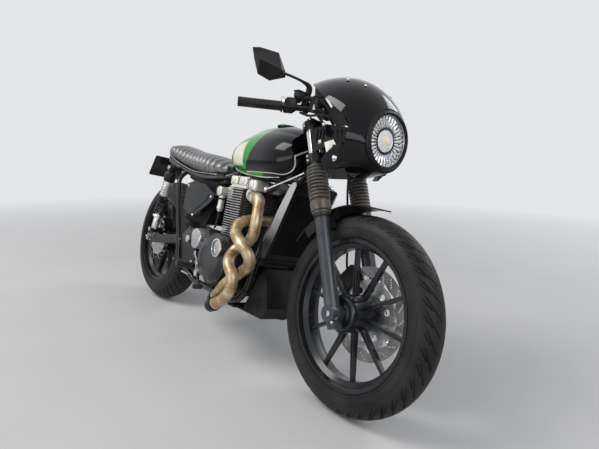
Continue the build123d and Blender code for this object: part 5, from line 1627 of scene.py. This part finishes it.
def make_chain():
    """The chain link by link, with rollers and pins."""
    pins, step = chain_pins(LINKS)
    outer, inner = Form(), Form()
    lobe, waist = 5.5, 3.9
    outline = []
    for centre, start, dip in ((step, -90, waist), (0, 90, -waist)):
        for k in range(7):
            u, v = polar(lobe, math.radians(start + 30 * k))
            outline.append((centre + u, v))
        outline.append((step / 2, dip))
    for k, (a, b) in enumerate(zip(pins, pins[1:] + pins[:1])):
        run = (b - a).normalized()
        turn = Matrix.Translation(a) @ Matrix((run, run.cross(SIDE), SIDE)).transposed().to_4x4()
        form, reach = (outer, 5.4) if k % 2 else (inner, 3.6)
        for side in (-1, 1):
            form.add(*slab(outline, side * reach, side * (reach + 1.5)), turn)
        inner.add(*lathe([(4.6, -3.4), (4.6, 3.4)], 10), placed(a, SIDE))
        outer.add(*lathe([(2.4, -7.0), (2.4, 7.0)], 8), placed(a, SIDE))
    outer.make("chain_outer_links", "steel", "chassis", ("drive_chain",), angle=40)
    inner.make("chain_inner_links", "chain", "chassis", angle=40)


def make_sprocket():
    """The rear sprocket's toothed ring and its nuts."""
    outline = [polar(107.5 + 4.2 * max(-0.75, math.cos(TEETH * a)), a) for a in turns(TEETH * 8)]
    flat_plate("rear_sprocket_teeth", REAR_AXLE, CHAIN_Y, outline, [circle(0, 0, 98, 96)], 5.6,
               "steel", "rear_wheel")
    bolts("sprocket_bolts", "rear_wheel", ring_of(REAR_AXLE, 60, 93.6, 6, 1, 0.5), hexagon, 7, 6)


# Radiator

def make_radiator():
    """The core's grid, its frame and side plates, the cap and the upper hose."""
    top, low = Vector((1139, 0, 690)), Vector((1026, 0, 399))
    up = (top - low).normalized()
    height = (top - low).length
    turn = (Matrix.Translation((top + low) / 2)
            @ Matrix((SIDE, up, SIDE.cross(up))).transposed().to_4x4())
    grid = Form()
    rows, columns = 27, 21
    for k in range(rows):
        v = (height - 66) * (k / (rows - 1) - 0.5)
        grid.add(*block((164, 2.6, 3.2), 0.6, 1), turn @ shift(0, v, -3))
    for k in range(columns):
        u = 160 * (k / (columns - 1) - 0.5)
        grid.add(*block((1.6, height - 62, 2.4), 0.4, 1), turn @ shift(u, 0, -4.4))
    grid.make("radiator_grille", "dark", "chassis", smooth=False)
    rails = Form()
    for side in (-1, 1):
        rails.add(*block((14, height - 18, 3), 1), turn @ shift(side * 91, 0, 1))
        for v in (-0.38, 0, 0.38):
            rails.add(*dome_bolt(4.5, 3), turn @ shift(side * 91, v * height, 2))
    rails.make("radiator_frame", "satin", "chassis")
    plate = twin_slabs([(1146, 694), (1140, 704), (1126, 704), (1108, 684), (1066, 600),
                        (1018, 474), (1012, 430), (1024, 404), (1040, 410)], 99.2, 103)
    plate.make("radiator_side_plates", "side", "chassis", bevel=1.5)
    neck = placed(turn @ Vector((60, height / 2 + 14, -12)), up)
    spun("radiator_cap", "machined", "chassis", neck,
         [(13, -8), (13, 4), (19, 5), (20, 8), (20, 12), (17, 14), (0.01, 14)], 32)
    line = [turn @ Vector((-70, height / 2 - 4, -22)), (1080, -70, 676), (1010, -66, 690),
            (950, -52, 680), (896, -40, 662)]
    hose = Form().add(*pipe(smooth_line(line, 8), 14, 18))
    hose.make("radiator_hose", "rubber", "chassis")


# Hand controls and mirrors

def bar_line(side, share):
    """A point along the bar's outer straight run."""
    a, b = (Vector((x, side * y, z)) for x, y, z in (BAR_INNER, BAR_OUTER))
    return a + (b - a) * share


# the levers' way from their hinge: out along the bar, forward and up
LEVER = [(0, 0, 0), (30, 3, -1), (70, 4, -2), (130, 0, -3), (172, -8, -4), (186, -10, -4)]
PERCH = 0.10
PERCH_ARM = Vector((48, 0, -2.5))
GRIP_START = 0.44
GRIP_RIBS = 22


def add_switches(forms, side, run):
    """The split housing beside the grip with its buttons and its cable's cap."""
    start, end = bar_line(side, 0.27), bar_line(side, 0.41)
    long = (end - start).length
    forms["dark"].add(*lathe([(12, 0), (20, 1), (22, 3), (22, long / 2 - 1), (21.2, long / 2),
                              (22, long / 2 + 1), (22, long - 3), (20, long - 1), (12, long)], 40),
                      placed(start, run, (1, 0, 0)))
    middle = bar_line(side, 0.315) + Vector((0, 0, 7))
    forms["dark"].add(*block((46, 50, 40), 8, 3), placed(middle, run, (1, 0, 0)))
    forms["metal"].add(*lathe([(19, 0), (20, 1), (20, 7), (17, 9), (0.01, 9)], 32),
                       placed(bar_line(side, 0.42) + Vector((4, 0, 14)), run))
    forms["dull"].add(*block((30, 5, 20), 2),
                      placed(middle + Vector((-25, 0, 4)), run, (1, 0, 0)))
    for share, size in ((0.3, (9, 12, 6)), (0.68, (8, 8, 6))):
        back = placed(start + run * long * share + Vector((-20, 0, 6)), (-1, 0, 0.25), run)
        forms["dull"].add(*block(size, 1.4), back)


def add_lever(forms, side, run):
    """A lever on its hinge and perch, with the mirror's foot beside it."""
    dark, metal = forms["dark"], forms["metal"]
    perch = bar_line(side, PERCH)
    dark.add(*lathe([(11.2, 0), (16.4, 1), (17, 3), (17, 17), (16.4, 19), (11.2, 20)], 36, True),
             placed(perch - run * 10, run, (1, 0, 0)))
    for dz in (-14, 14):
        metal.add(*socket_bolt(3.2, 4), placed(perch + Vector((-14, 0, dz)), (-1, 0, 0)))
    hinge = perch + Vector((38, 0, -2))
    dark.add(*bar(perch, perch + PERCH_ARM, 9, 20))
    dark.add(*lathe([(9, -9), (12, -8), (12, 8), (9, 9)], 28), placed(hinge))
    metal.add(*dome_bolt(4.5, 3), placed(hinge + Vector((0, 0, 9))))
    line = smooth_line([hinge + run * out + Vector((x, 0, z)) for out, x, z in LEVER])
    last = len(line) - 1
    radii = [5.2 + math.sin(math.pi * k / last) for k in range(last + 1)]
    radii[-5:] = [5.6, 6.6, 7.2, 6.6, 3.0]
    dark.add(*pipe(line, radii, 14))
    foot = perch + Vector((-6, 0, 2))
    dark.add(*lathe([(9.5, 0), (9.5, 6), (7.6, 9), (7.6, 26)], 24), Matrix.Translation(foot))
    metal.add(*hexagon(8.4, 7), Matrix.Translation(foot + Vector((0, 0, 12))))


def add_reservoir(forms, run):
    """The front brake's reservoir beside the right switches, with its lid and sight glass."""
    start = bar_line(-1, 0.27)
    cup = start + Vector((20, 4, 40))
    forms["dull"].add(*block((27, 39, 22), 6, 3), Matrix.Translation(cup))
    forms["dark"].add(*block((29, 41, 5), 2), Matrix.Translation(cup + Vector((0, 0, 12))))
    for dx, dy in ((-9, -14), (9, 14)):
        forms["metal"].add(*dome_bolt(2.6, 1.6),
                           Matrix.Translation(cup + Vector((dx, dy, 14.4))))
    forms["metal"].add(*lathe([(6.4, 0), (6.4, 2), (5, 2.6), (0.01, 2.6)], 24),
                       placed(cup + Vector((-13.6, 0, -2)), (-1, 0, 0)))
    forms["dark"].add(*bar(start + run * 6 + Vector((6, 0, 8)), start + Vector((18, 2, 32)), 8,
                           20))


def add_grip(forms, side, run):
    """A ribbed grip with its flange, and the bush in its open end."""
    inner = bar_line(side, GRIP_START)
    span = (bar_line(side, 1.0) - inner).length
    step = (span - 12) / GRIP_RIBS
    rows = [(11.2, -4), (20.4, -4), (21, -3), (21, -1), (17, 1)]
    for k in range(GRIP_RIBS):
        rows += [(r, 5 + (k + share) * step)
                 for r, share in ((15.8, 0), (16.5, 0.25), (16.5, 0.7), (15.8, 0.8))]
    rows += [(16.5, span - 4), (16.5, span + 4), (15, span + 6), (7.05, span + 6)]
    forms["rubber"].add(*strip_end(lathe(rows, 36)), placed(inner, run))
    forms["metal"].add(*lathe([(7.1, span - 34), (10.9, span - 34), (10.9, span - 0.5),
                               (7.1, span - 0.5)], 28, True), placed(inner, run))


def make_controls():
    """Switches, levers, the reservoir and the ribbed grips."""
    forms = {key: Form() for key in ("dark", "metal", "rubber", "dull")}
    for side in (-1, 1):
        run = (bar_line(side, 1.0) - bar_line(side, 0.0)).normalized()
        add_switches(forms, side, run)
        add_lever(forms, side, run)
        add_grip(forms, side, run)
        if side < 0:
            add_reservoir(forms, run)
    forms["dark"].make("control_bodies", "satin", "steering", ("hand_controls",))
    forms["dull"].make("control_details", "plate", "steering")
    forms["metal"].make("control_screws", "machined", "steering")
    forms["rubber"].make("grip_rubber", "rubber", "steering", ("grips",))


MIRROR_OUTLINE = [(69, -33), (45, -42), (-19, -48), (-58, 0), (-65, 19), (-16, 48), (28, 41),
                  (52, 1)]


def make_mirrors():
    """The mirrors: a creased shell, the glass in its rim, and a round tapering arm."""
    shells, glass, arms = Form(), Form(), Form()
    count = len(MIRROR_OUTLINE)
    rim = [(1.0, 0), (1.0, -7), (0.97, -8.6), (0.92, -8.6), (0.91, -7.2)]
    verts = [(px * share, py * share, h) for share, h in rim for px, py in MIRROR_OUTLINE]
    ridge = len(verts)
    verts += [(38, -3, 12), (-42, 2, 12)]
    faces = ring_faces(len(rim), count)
    faces += [(0, 1, ridge), (1, 2, ridge + 1, ridge), (2, 3, ridge + 1), (3, 4, ridge + 1),
              (4, 5, ridge + 1), (5, 6, ridge, ridge + 1), (6, 7, ridge), (7, 0, ridge)]
    for side, out in ((-1, 280), (1, 268)):
        x = Vector((-0.35, side * 0.94, 0.1)).normalized()
        z = Vector((0.93, side * 0.35, -0.08)).normalized()
        x = (x - z * x.dot(z)).normalized()
        turn = Matrix((x, z.cross(x) * -side, z)).transposed().to_4x4()
        turn = shift(1108, side * out, 1066) @ turn
        shells.add(verts, faces, turn)
        glass.add(*slab([(px * 0.915, py * 0.915) for px, py in MIRROR_OUTLINE], -8, -7), turn)
        foot = bar_line(side, PERCH) + Vector((-6, 0, 20))
        line = smooth_line([foot, foot + Vector((3, -side, 26)), foot + Vector((7, side * 3, 54)),
                            (1156, side * 168, 1041), (1144, side * 200, 1047),
                            (1122, side * (out - 50), 1054), (1108, side * (out - 30), 1060)], 8)
        last = len(line) - 1
        radii = [11.0 - 6.5 * smooth_step(k / last, 0.25, 0.55) for k in range(last + 1)]
        arms.add(*pipe(line, radii, 16))
        arms.add(*lathe([(14, -22), (15.4, -20), (15.4, -2), (12, 6), (11, 8)], 32), shift(*foot))
        arms.add(*hexagon(12.5, 8), shift(*(foot + Vector((0, 0, 8)))))
    shells.make("mirror_shells", "satin", "steering", ("mirrors",), angle=12, bevel=1.2)
    glass.make("mirror_glass", "mirror", "steering", smooth=False)
    arms.make("mirror_arms", "satin", "steering")


LOOMS = [
    # radius and points of each cable on one side, from the bar to the lamp
    (5.0, [(1142, 161, 972), (1176, 150, 990), (1222, 120, 982), (1252, 92, 946),
           (1268, 70, 905)]),
    (4.2, [(1150, 150, 940), (1190, 140, 930), (1232, 122, 936), (1262, 96, 930),
           (1284, 70, 900)]),
    (3.6, [(1160, 140, 976), (1205, 132, 1000), (1246, 104, 990), (1272, 78, 952),
           (1290, 60, 905)]),
    (4.6, [(1196, 128, 952), (1222, 112, 922), (1240, 92, 896), (1266, 64, 886)]),
]
STAY = [(1150, 1046), (1170, 1052), (1250, 1004), (1312, 946), (1350, 906), (1306, 899),
        (1240, 944), (1196, 980), (1160, 1002)]
STAY_SLOT = [(1206, 1004), (1216, 1008), (1262, 968), (1254, 962)]


def make_looms():
    """The fairing's side stays, and the cables and wiring from the bar to the lamp."""
    twin_plates("fairing_stay", 104, STAY, [STAY_SLOT], 3.0, "satin")
    looms = Form()
    for side in (-1, 1):
        for radius, points in LOOMS:
            looms.add(*pipe(smooth_line([(x, side * y, z) for x, y, z in points]), radius))
        looms.add(*block((46, 34, 40), 8, 3), shift(1196, side * 122, 968))
    looms.make("control_looms", "rubber", "steering")


def make_instrument():
    """The clock: bezel, glass, face with plain ticks, and needle."""
    turn = placed((1212, 0, 1012), (-0.64, 0, 0.77), (0, 1, 0))
    spun("clock_bezel", "chrome", "steering", turn,
         [(38, -1), (38, 3), (40, 5), (43, 4), (44, 0), (44, -10), (42, -12), (42, -1)], 72, True)
    spun("clock_face", "dial", "steering", turn, [(38.4, 0.2), (38.4, 0.8), (0.01, 0.8)], 64,
         smooth=False)
    ticks = Form()
    for k in range(41):
        wide, long = (1.3, 7) if k % 4 == 0 else (0.7, 4)
        ticks.add(*block((wide, long, 0.3)),
                  turn @ Matrix.Rotation(math.radians(-135 + 6.75 * k), 4, "Z")
                  @ shift(0, 33 - long / 2, 1.0))
    ticks.add(*block((1.4, 26, 0.8), 0.3),
              turn @ Matrix.Rotation(math.radians(125), 4, "Z") @ shift(0, 11, 1.8))
    ticks.add(*lathe([(4.5, 1), (4.5, 3), (0.01, 3.4)], 24), turn)
    ticks.make("clock_ticks", "pale", "steering", smooth=False)
    spun("clock_glass", "glass", "steering", turn,
         [(38, 3.0), (38, 3.6), (20, 4.4), (0.01, 4.8)], 48)


# Foot controls, brakes, stand

HEEL_BOLT = (592, -152, 340)


def make_feet():
    """Footpegs, pedal and lever tips, the heel plate and its bolts."""
    rubber, metal, bright = Form(), Form(), Form()
    for side in (-1, 1):
        a, b = Vector((628, side * 136, 286)), Vector((606, side * 240, 292))
        way = (b - a).normalized()
        long = (b - a).length
        rows = [(12.2, 34), (15, 35), (15.6, 38)]
        for k in range(7):
            z = 40 + k * 8.6
            rows += [(15.6, z), (15.6, z + 5), (13.6, z + 5.6), (13.6, z + 8)]
        rows += [(15.6, long - 8), (15.6, long - 2), (12, long - 0.5), (0.01, long - 0.5)]
        rubber.add(*lathe(rows, 32), placed(a, way))
        metal.add(*block((26, 22, 20), 3), Matrix.Translation(a + way * 16))
        metal.add(*dome_bolt(6, 4), placed(a + way * 16 + Vector((0, 0, 10)), (0, 0, 1)))
        for x, z in ((552, 296), (636, 296), (604, 262)):
            metal.add(*socket_bolt(5.5, 5), placed((x, side * 142, z), (0, side, 0)))
        tip = 201 if side < 0 else 191
        rubber.add(*lathe([(9.6, 0), (10.2, 1), (10.2, 34), (9, 36), (0.01, 36)], 28),
                   placed((788, side * tip, 236), (0, side, 0)))
        metal.add(*lathe([(9.2, -1), (11, 0), (11, 5), (7, 6.4), (0.01, 6.4)], 28),
                  placed((634, side * 153, 258), (0, side, 0)))
    guard = [(588, 306), (640, 300), (652, 268), (628, 244), (604, 252), (612, 276)]
    bright.add(*side_slab(guard, -147, -142.5))
    bright.add(*bar((628, -146, 288), HEEL_BOLT, 4.5, 14))
    bright.add(*lathe([(10, -4), (11, -3), (11, 3), (10, 4)], 28), placed(HEEL_BOLT, SIDE))
    rubber.make("peg_rubbers", "rubber", "chassis")
    metal.make("peg_fittings", "cast", "chassis")
    bright.make("heel_plate", "steel", "chassis", bevel=1.0)


def make_calipers():
    """Piston caps, bolts and bleed nipple on each caliper's outer face."""
    for word, centre, turn, reach, y, side, body in (
            ("front", FRONT_AXLE, math.radians(49), 140, 75.4, 1, "steering"),
            ("rear", REAR_AXLE, math.radians(45), 112, -103.4, -1, "chassis")):
        c, s = polar(1, turn)
        inward, along = Vector((side * s, 0, -c)), Vector((c, 0, side * s))
        at = centre - inward * reach
        at.y = y
        out = (0, side, 0)
        caps, bright = Form(), Form()
        for share in (-24, 24):
            caps.add(*lathe([(17, -2), (18, 0), (18, 3), (15, 5.4), (8, 6.2), (0.01, 6.2)], 40),
                     placed(at + along * share, out))
            bright.add(*socket_bolt(5.4, 5), placed(at + along * share * 1.72 - inward * 14, out))
        bright.add(*lathe([(4, 0), (5.5, 1), (5.5, 6), (3, 8), (3, 12), (4, 12.5), (2, 15)], 20),
                   placed(at - inward * 20, (0, side * 0.5, 0.86)))
        caps.make(f"{word}_caliper_pistons", "caliper", body)
        bright.make(f"{word}_caliper_bolts", "machined", body)


def make_stand_trim():
    """The side stand's return spring."""
    low, high = Vector((604, 140, 214)), Vector((640, 142, 236))
    coil = helix(9, 5.5, 1.4, 2, (high - low).length - 2, placed(low, high - low))
    Form().add(*coil).make("stand_spring", "steel", "chassis")


# Tail

def make_tail():
    """The number plate's rim and screws, the tail lamp's lens and the clips on the seat's end."""
    z = Vector((-0.865, 0, 0.5)).normalized()
    turn = shift(-228, 0, 712) @ Matrix((SIDE, z.cross(SIDE), z)).transposed().to_4x4()
    outline, inner = rounded_outline(-94, 94, 64, 8, 5), rounded_outline(-89, 89, 59, 5, 5)
    verts = [(px, py, h) for line, h in ((outline, 3), (outline, 4.4), (inner, 4.4), (inner, 3))
             for px, py in line]
    Form().add(verts, ring_faces(4, len(outline)), turn).make("plate_rim", "satin", "chassis",
                                                              smooth=False)
    screws = Form()
    for px in (-60, 60):
        screws.add(*dome_bolt(5, 3), turn @ shift(px, 44, 3))
    screws.make("plate_screws", "machined", "chassis")
    lens = Form().add(*block((8, 84, 18), 3, 3), shift(-132, 0, 779))
    lens.make("tail_lamp_lens", "red", "chassis")
    clips = Form()
    for side in (-1, 1):
        clips.add(*block((40, 12, 5), 2), shift(-20, side * 30, 762))
    clips.make("tail_clips", "machined", "chassis")


# Frame details

FRAME_WELDS = [
    # place on the left, direction of the tube, its radius there
    ((262, 140, 655), (0.37, 0, -0.93), 11.8),
    ((418, 140, 270), (0.37, 0, -0.93), 11.8),
    ((950, 95, 262), (-0.4, 0, -0.9), 15.8),
    ((520, 95, 203), (1, 0, 0), 15.8),
]


def make_frame_trim():
    """Bolts, nuts, chain adjusters, rivets, welds, braces and the brake rod."""
    places = both_sides([(430, 280), (392, 372), (470, 436), (540, 425), (556, 300)], 136)
    places += both_sides([(52, 334), (-30, 306)], 127)
    bolts("frame_bolts", "chassis", places, socket_bolt, 6, 5, "chain")
    pivot = Form().add(*hexagon(17, 9), placed((525, -162, 393), (0, -1, 0)))
    pivot.add(*hexagon(15, 8), placed((525, 148, 393), (0, 1, 0)))
    pivot.make("pivot_nuts", "machined", "chassis")
    adjusters, welds, brace, rod = Form(), Form(), Form(), Form()
    for side in (-1, 1):
        adjusters.add(*block((34, 6, 30), 1.5), shift(-4, side * 129, 320))
        adjusters.add(*bar((-20, side * 129, 320), (-46, side * 129, 320), 4, 14))
        for (x, y, z), way, r in FRAME_WELDS:
            bead = [(r + 0.9 * u, 2.6 * v) for u, v in (polar(1, a) for a in turns(8))]
            welds.add(*lathe(bead, 28, True), placed((x, side * y, z), way))
        low, high = Vector((958, side * 95, 665)), Vector((1120, side * 56, 745))
        brace.add(*bar(low, high, 4.2, 14))
        brace.add(*lathe([(9, -6), (10, -5), (10, 5), (9, 6)], 24), placed(low, (0, side, 0)))
        brace.add(*dome_bolt(7, 5), placed(low + SIDE * side * 5, (0, side, 0)))
        rod.add(*bar((536, side * 172, 246), (606, side * 172, 246), 4, 12))
    adjusters.make("chain_adjusters", "cast", "chassis")
    bolts("skid_rivets", "chassis",
          both_sides([(1072, 250), (1056, 330), (960, 206), (1030, 206)], 88.2), dome_bolt, 4, 2.4,
          "satin")
    welds.make("frame_welds", "satin", "chassis")
    brace.make("neck_braces", "machined", "chassis")
    rod.make("brake_rod", "steel", "chassis")


def make_fender_trim():
    """The fender's rolled edge and its stay bolts."""
    edge = Form()
    for side in (-1, 1):
        arc = [FRONT_AXLE + Vector((342 * math.cos(a), side * 58, 342 * math.sin(a)))
               for a in (math.radians(98 + 50 * k / 29) for k in range(30))]
        edge.add(*pipe(arc, 3, 8))
    edge.make("fender_beads", "satin", "steering")
    height = 296 + (FRONT_AXLE - STEER_FOOT).dot(ALONG)
    places = [(steer(height, side * 81.4, FORK_AHEAD + s), SIDE * side)
              for side in (-1, 1) for s in (-8, 8)]
    bolts("fender_bolts", "steering", places, socket_bolt, 3.6, 3)


def make_cover_trim():
    """The side covers' raised inner panels and their screws."""
    panel = twin_slabs([(424, 534), (420, 620), (462, 636), (548, 632), (622, 606), (604, 578),
                        (502, 514)], 152.6, 155.2)
    panel.make("cover_panels", "cover", "chassis", bevel=1.6)
    bolts("cover_screws", "chassis", both_sides([(412, 628), (640, 596), (500, 500)], 153),
          dome_bolt, 5, 3)


def make_hose_trim():
    """Banjo fittings and clips on the front brake hose."""
    form = Form()
    perch = bar_line(-1, PERCH) + PERCH_ARM
    form.add(*lathe([(7, -6), (8, -5), (8, 5), (7, 6)], 24), placed(perch, (0, 0, 1)))
    form.add(*hexagon(7, 6), placed(perch + Vector((0, 0, 6)), (0, 0, 1)))
    form.add(*lathe([(5.2, -12), (6.4, -11), (6.4, 6), (5.2, 8)], 20),
             placed((1316, 58, 430), (-0.35, 0.05, 0.93)))
    form.make("hose_fittings", "machined", "steering")


set_camera()
set_stage()
MATERIALS = make_materials()
set_materials()
for build in (
        make_wheels, make_seat, make_tank_trim, make_lamp, make_cheeks, make_bowl,
        make_fairing_trim, make_fork, make_shocks, make_headers, make_engine, make_head,
        make_intakes, make_chain, make_sprocket, make_radiator, make_controls, make_mirrors,
        make_looms, make_instrument, make_feet, make_calipers, make_stand_trim, make_tail,
        make_frame_trim, make_fender_trim, make_cover_trim, make_hose_trim,
):
    build()
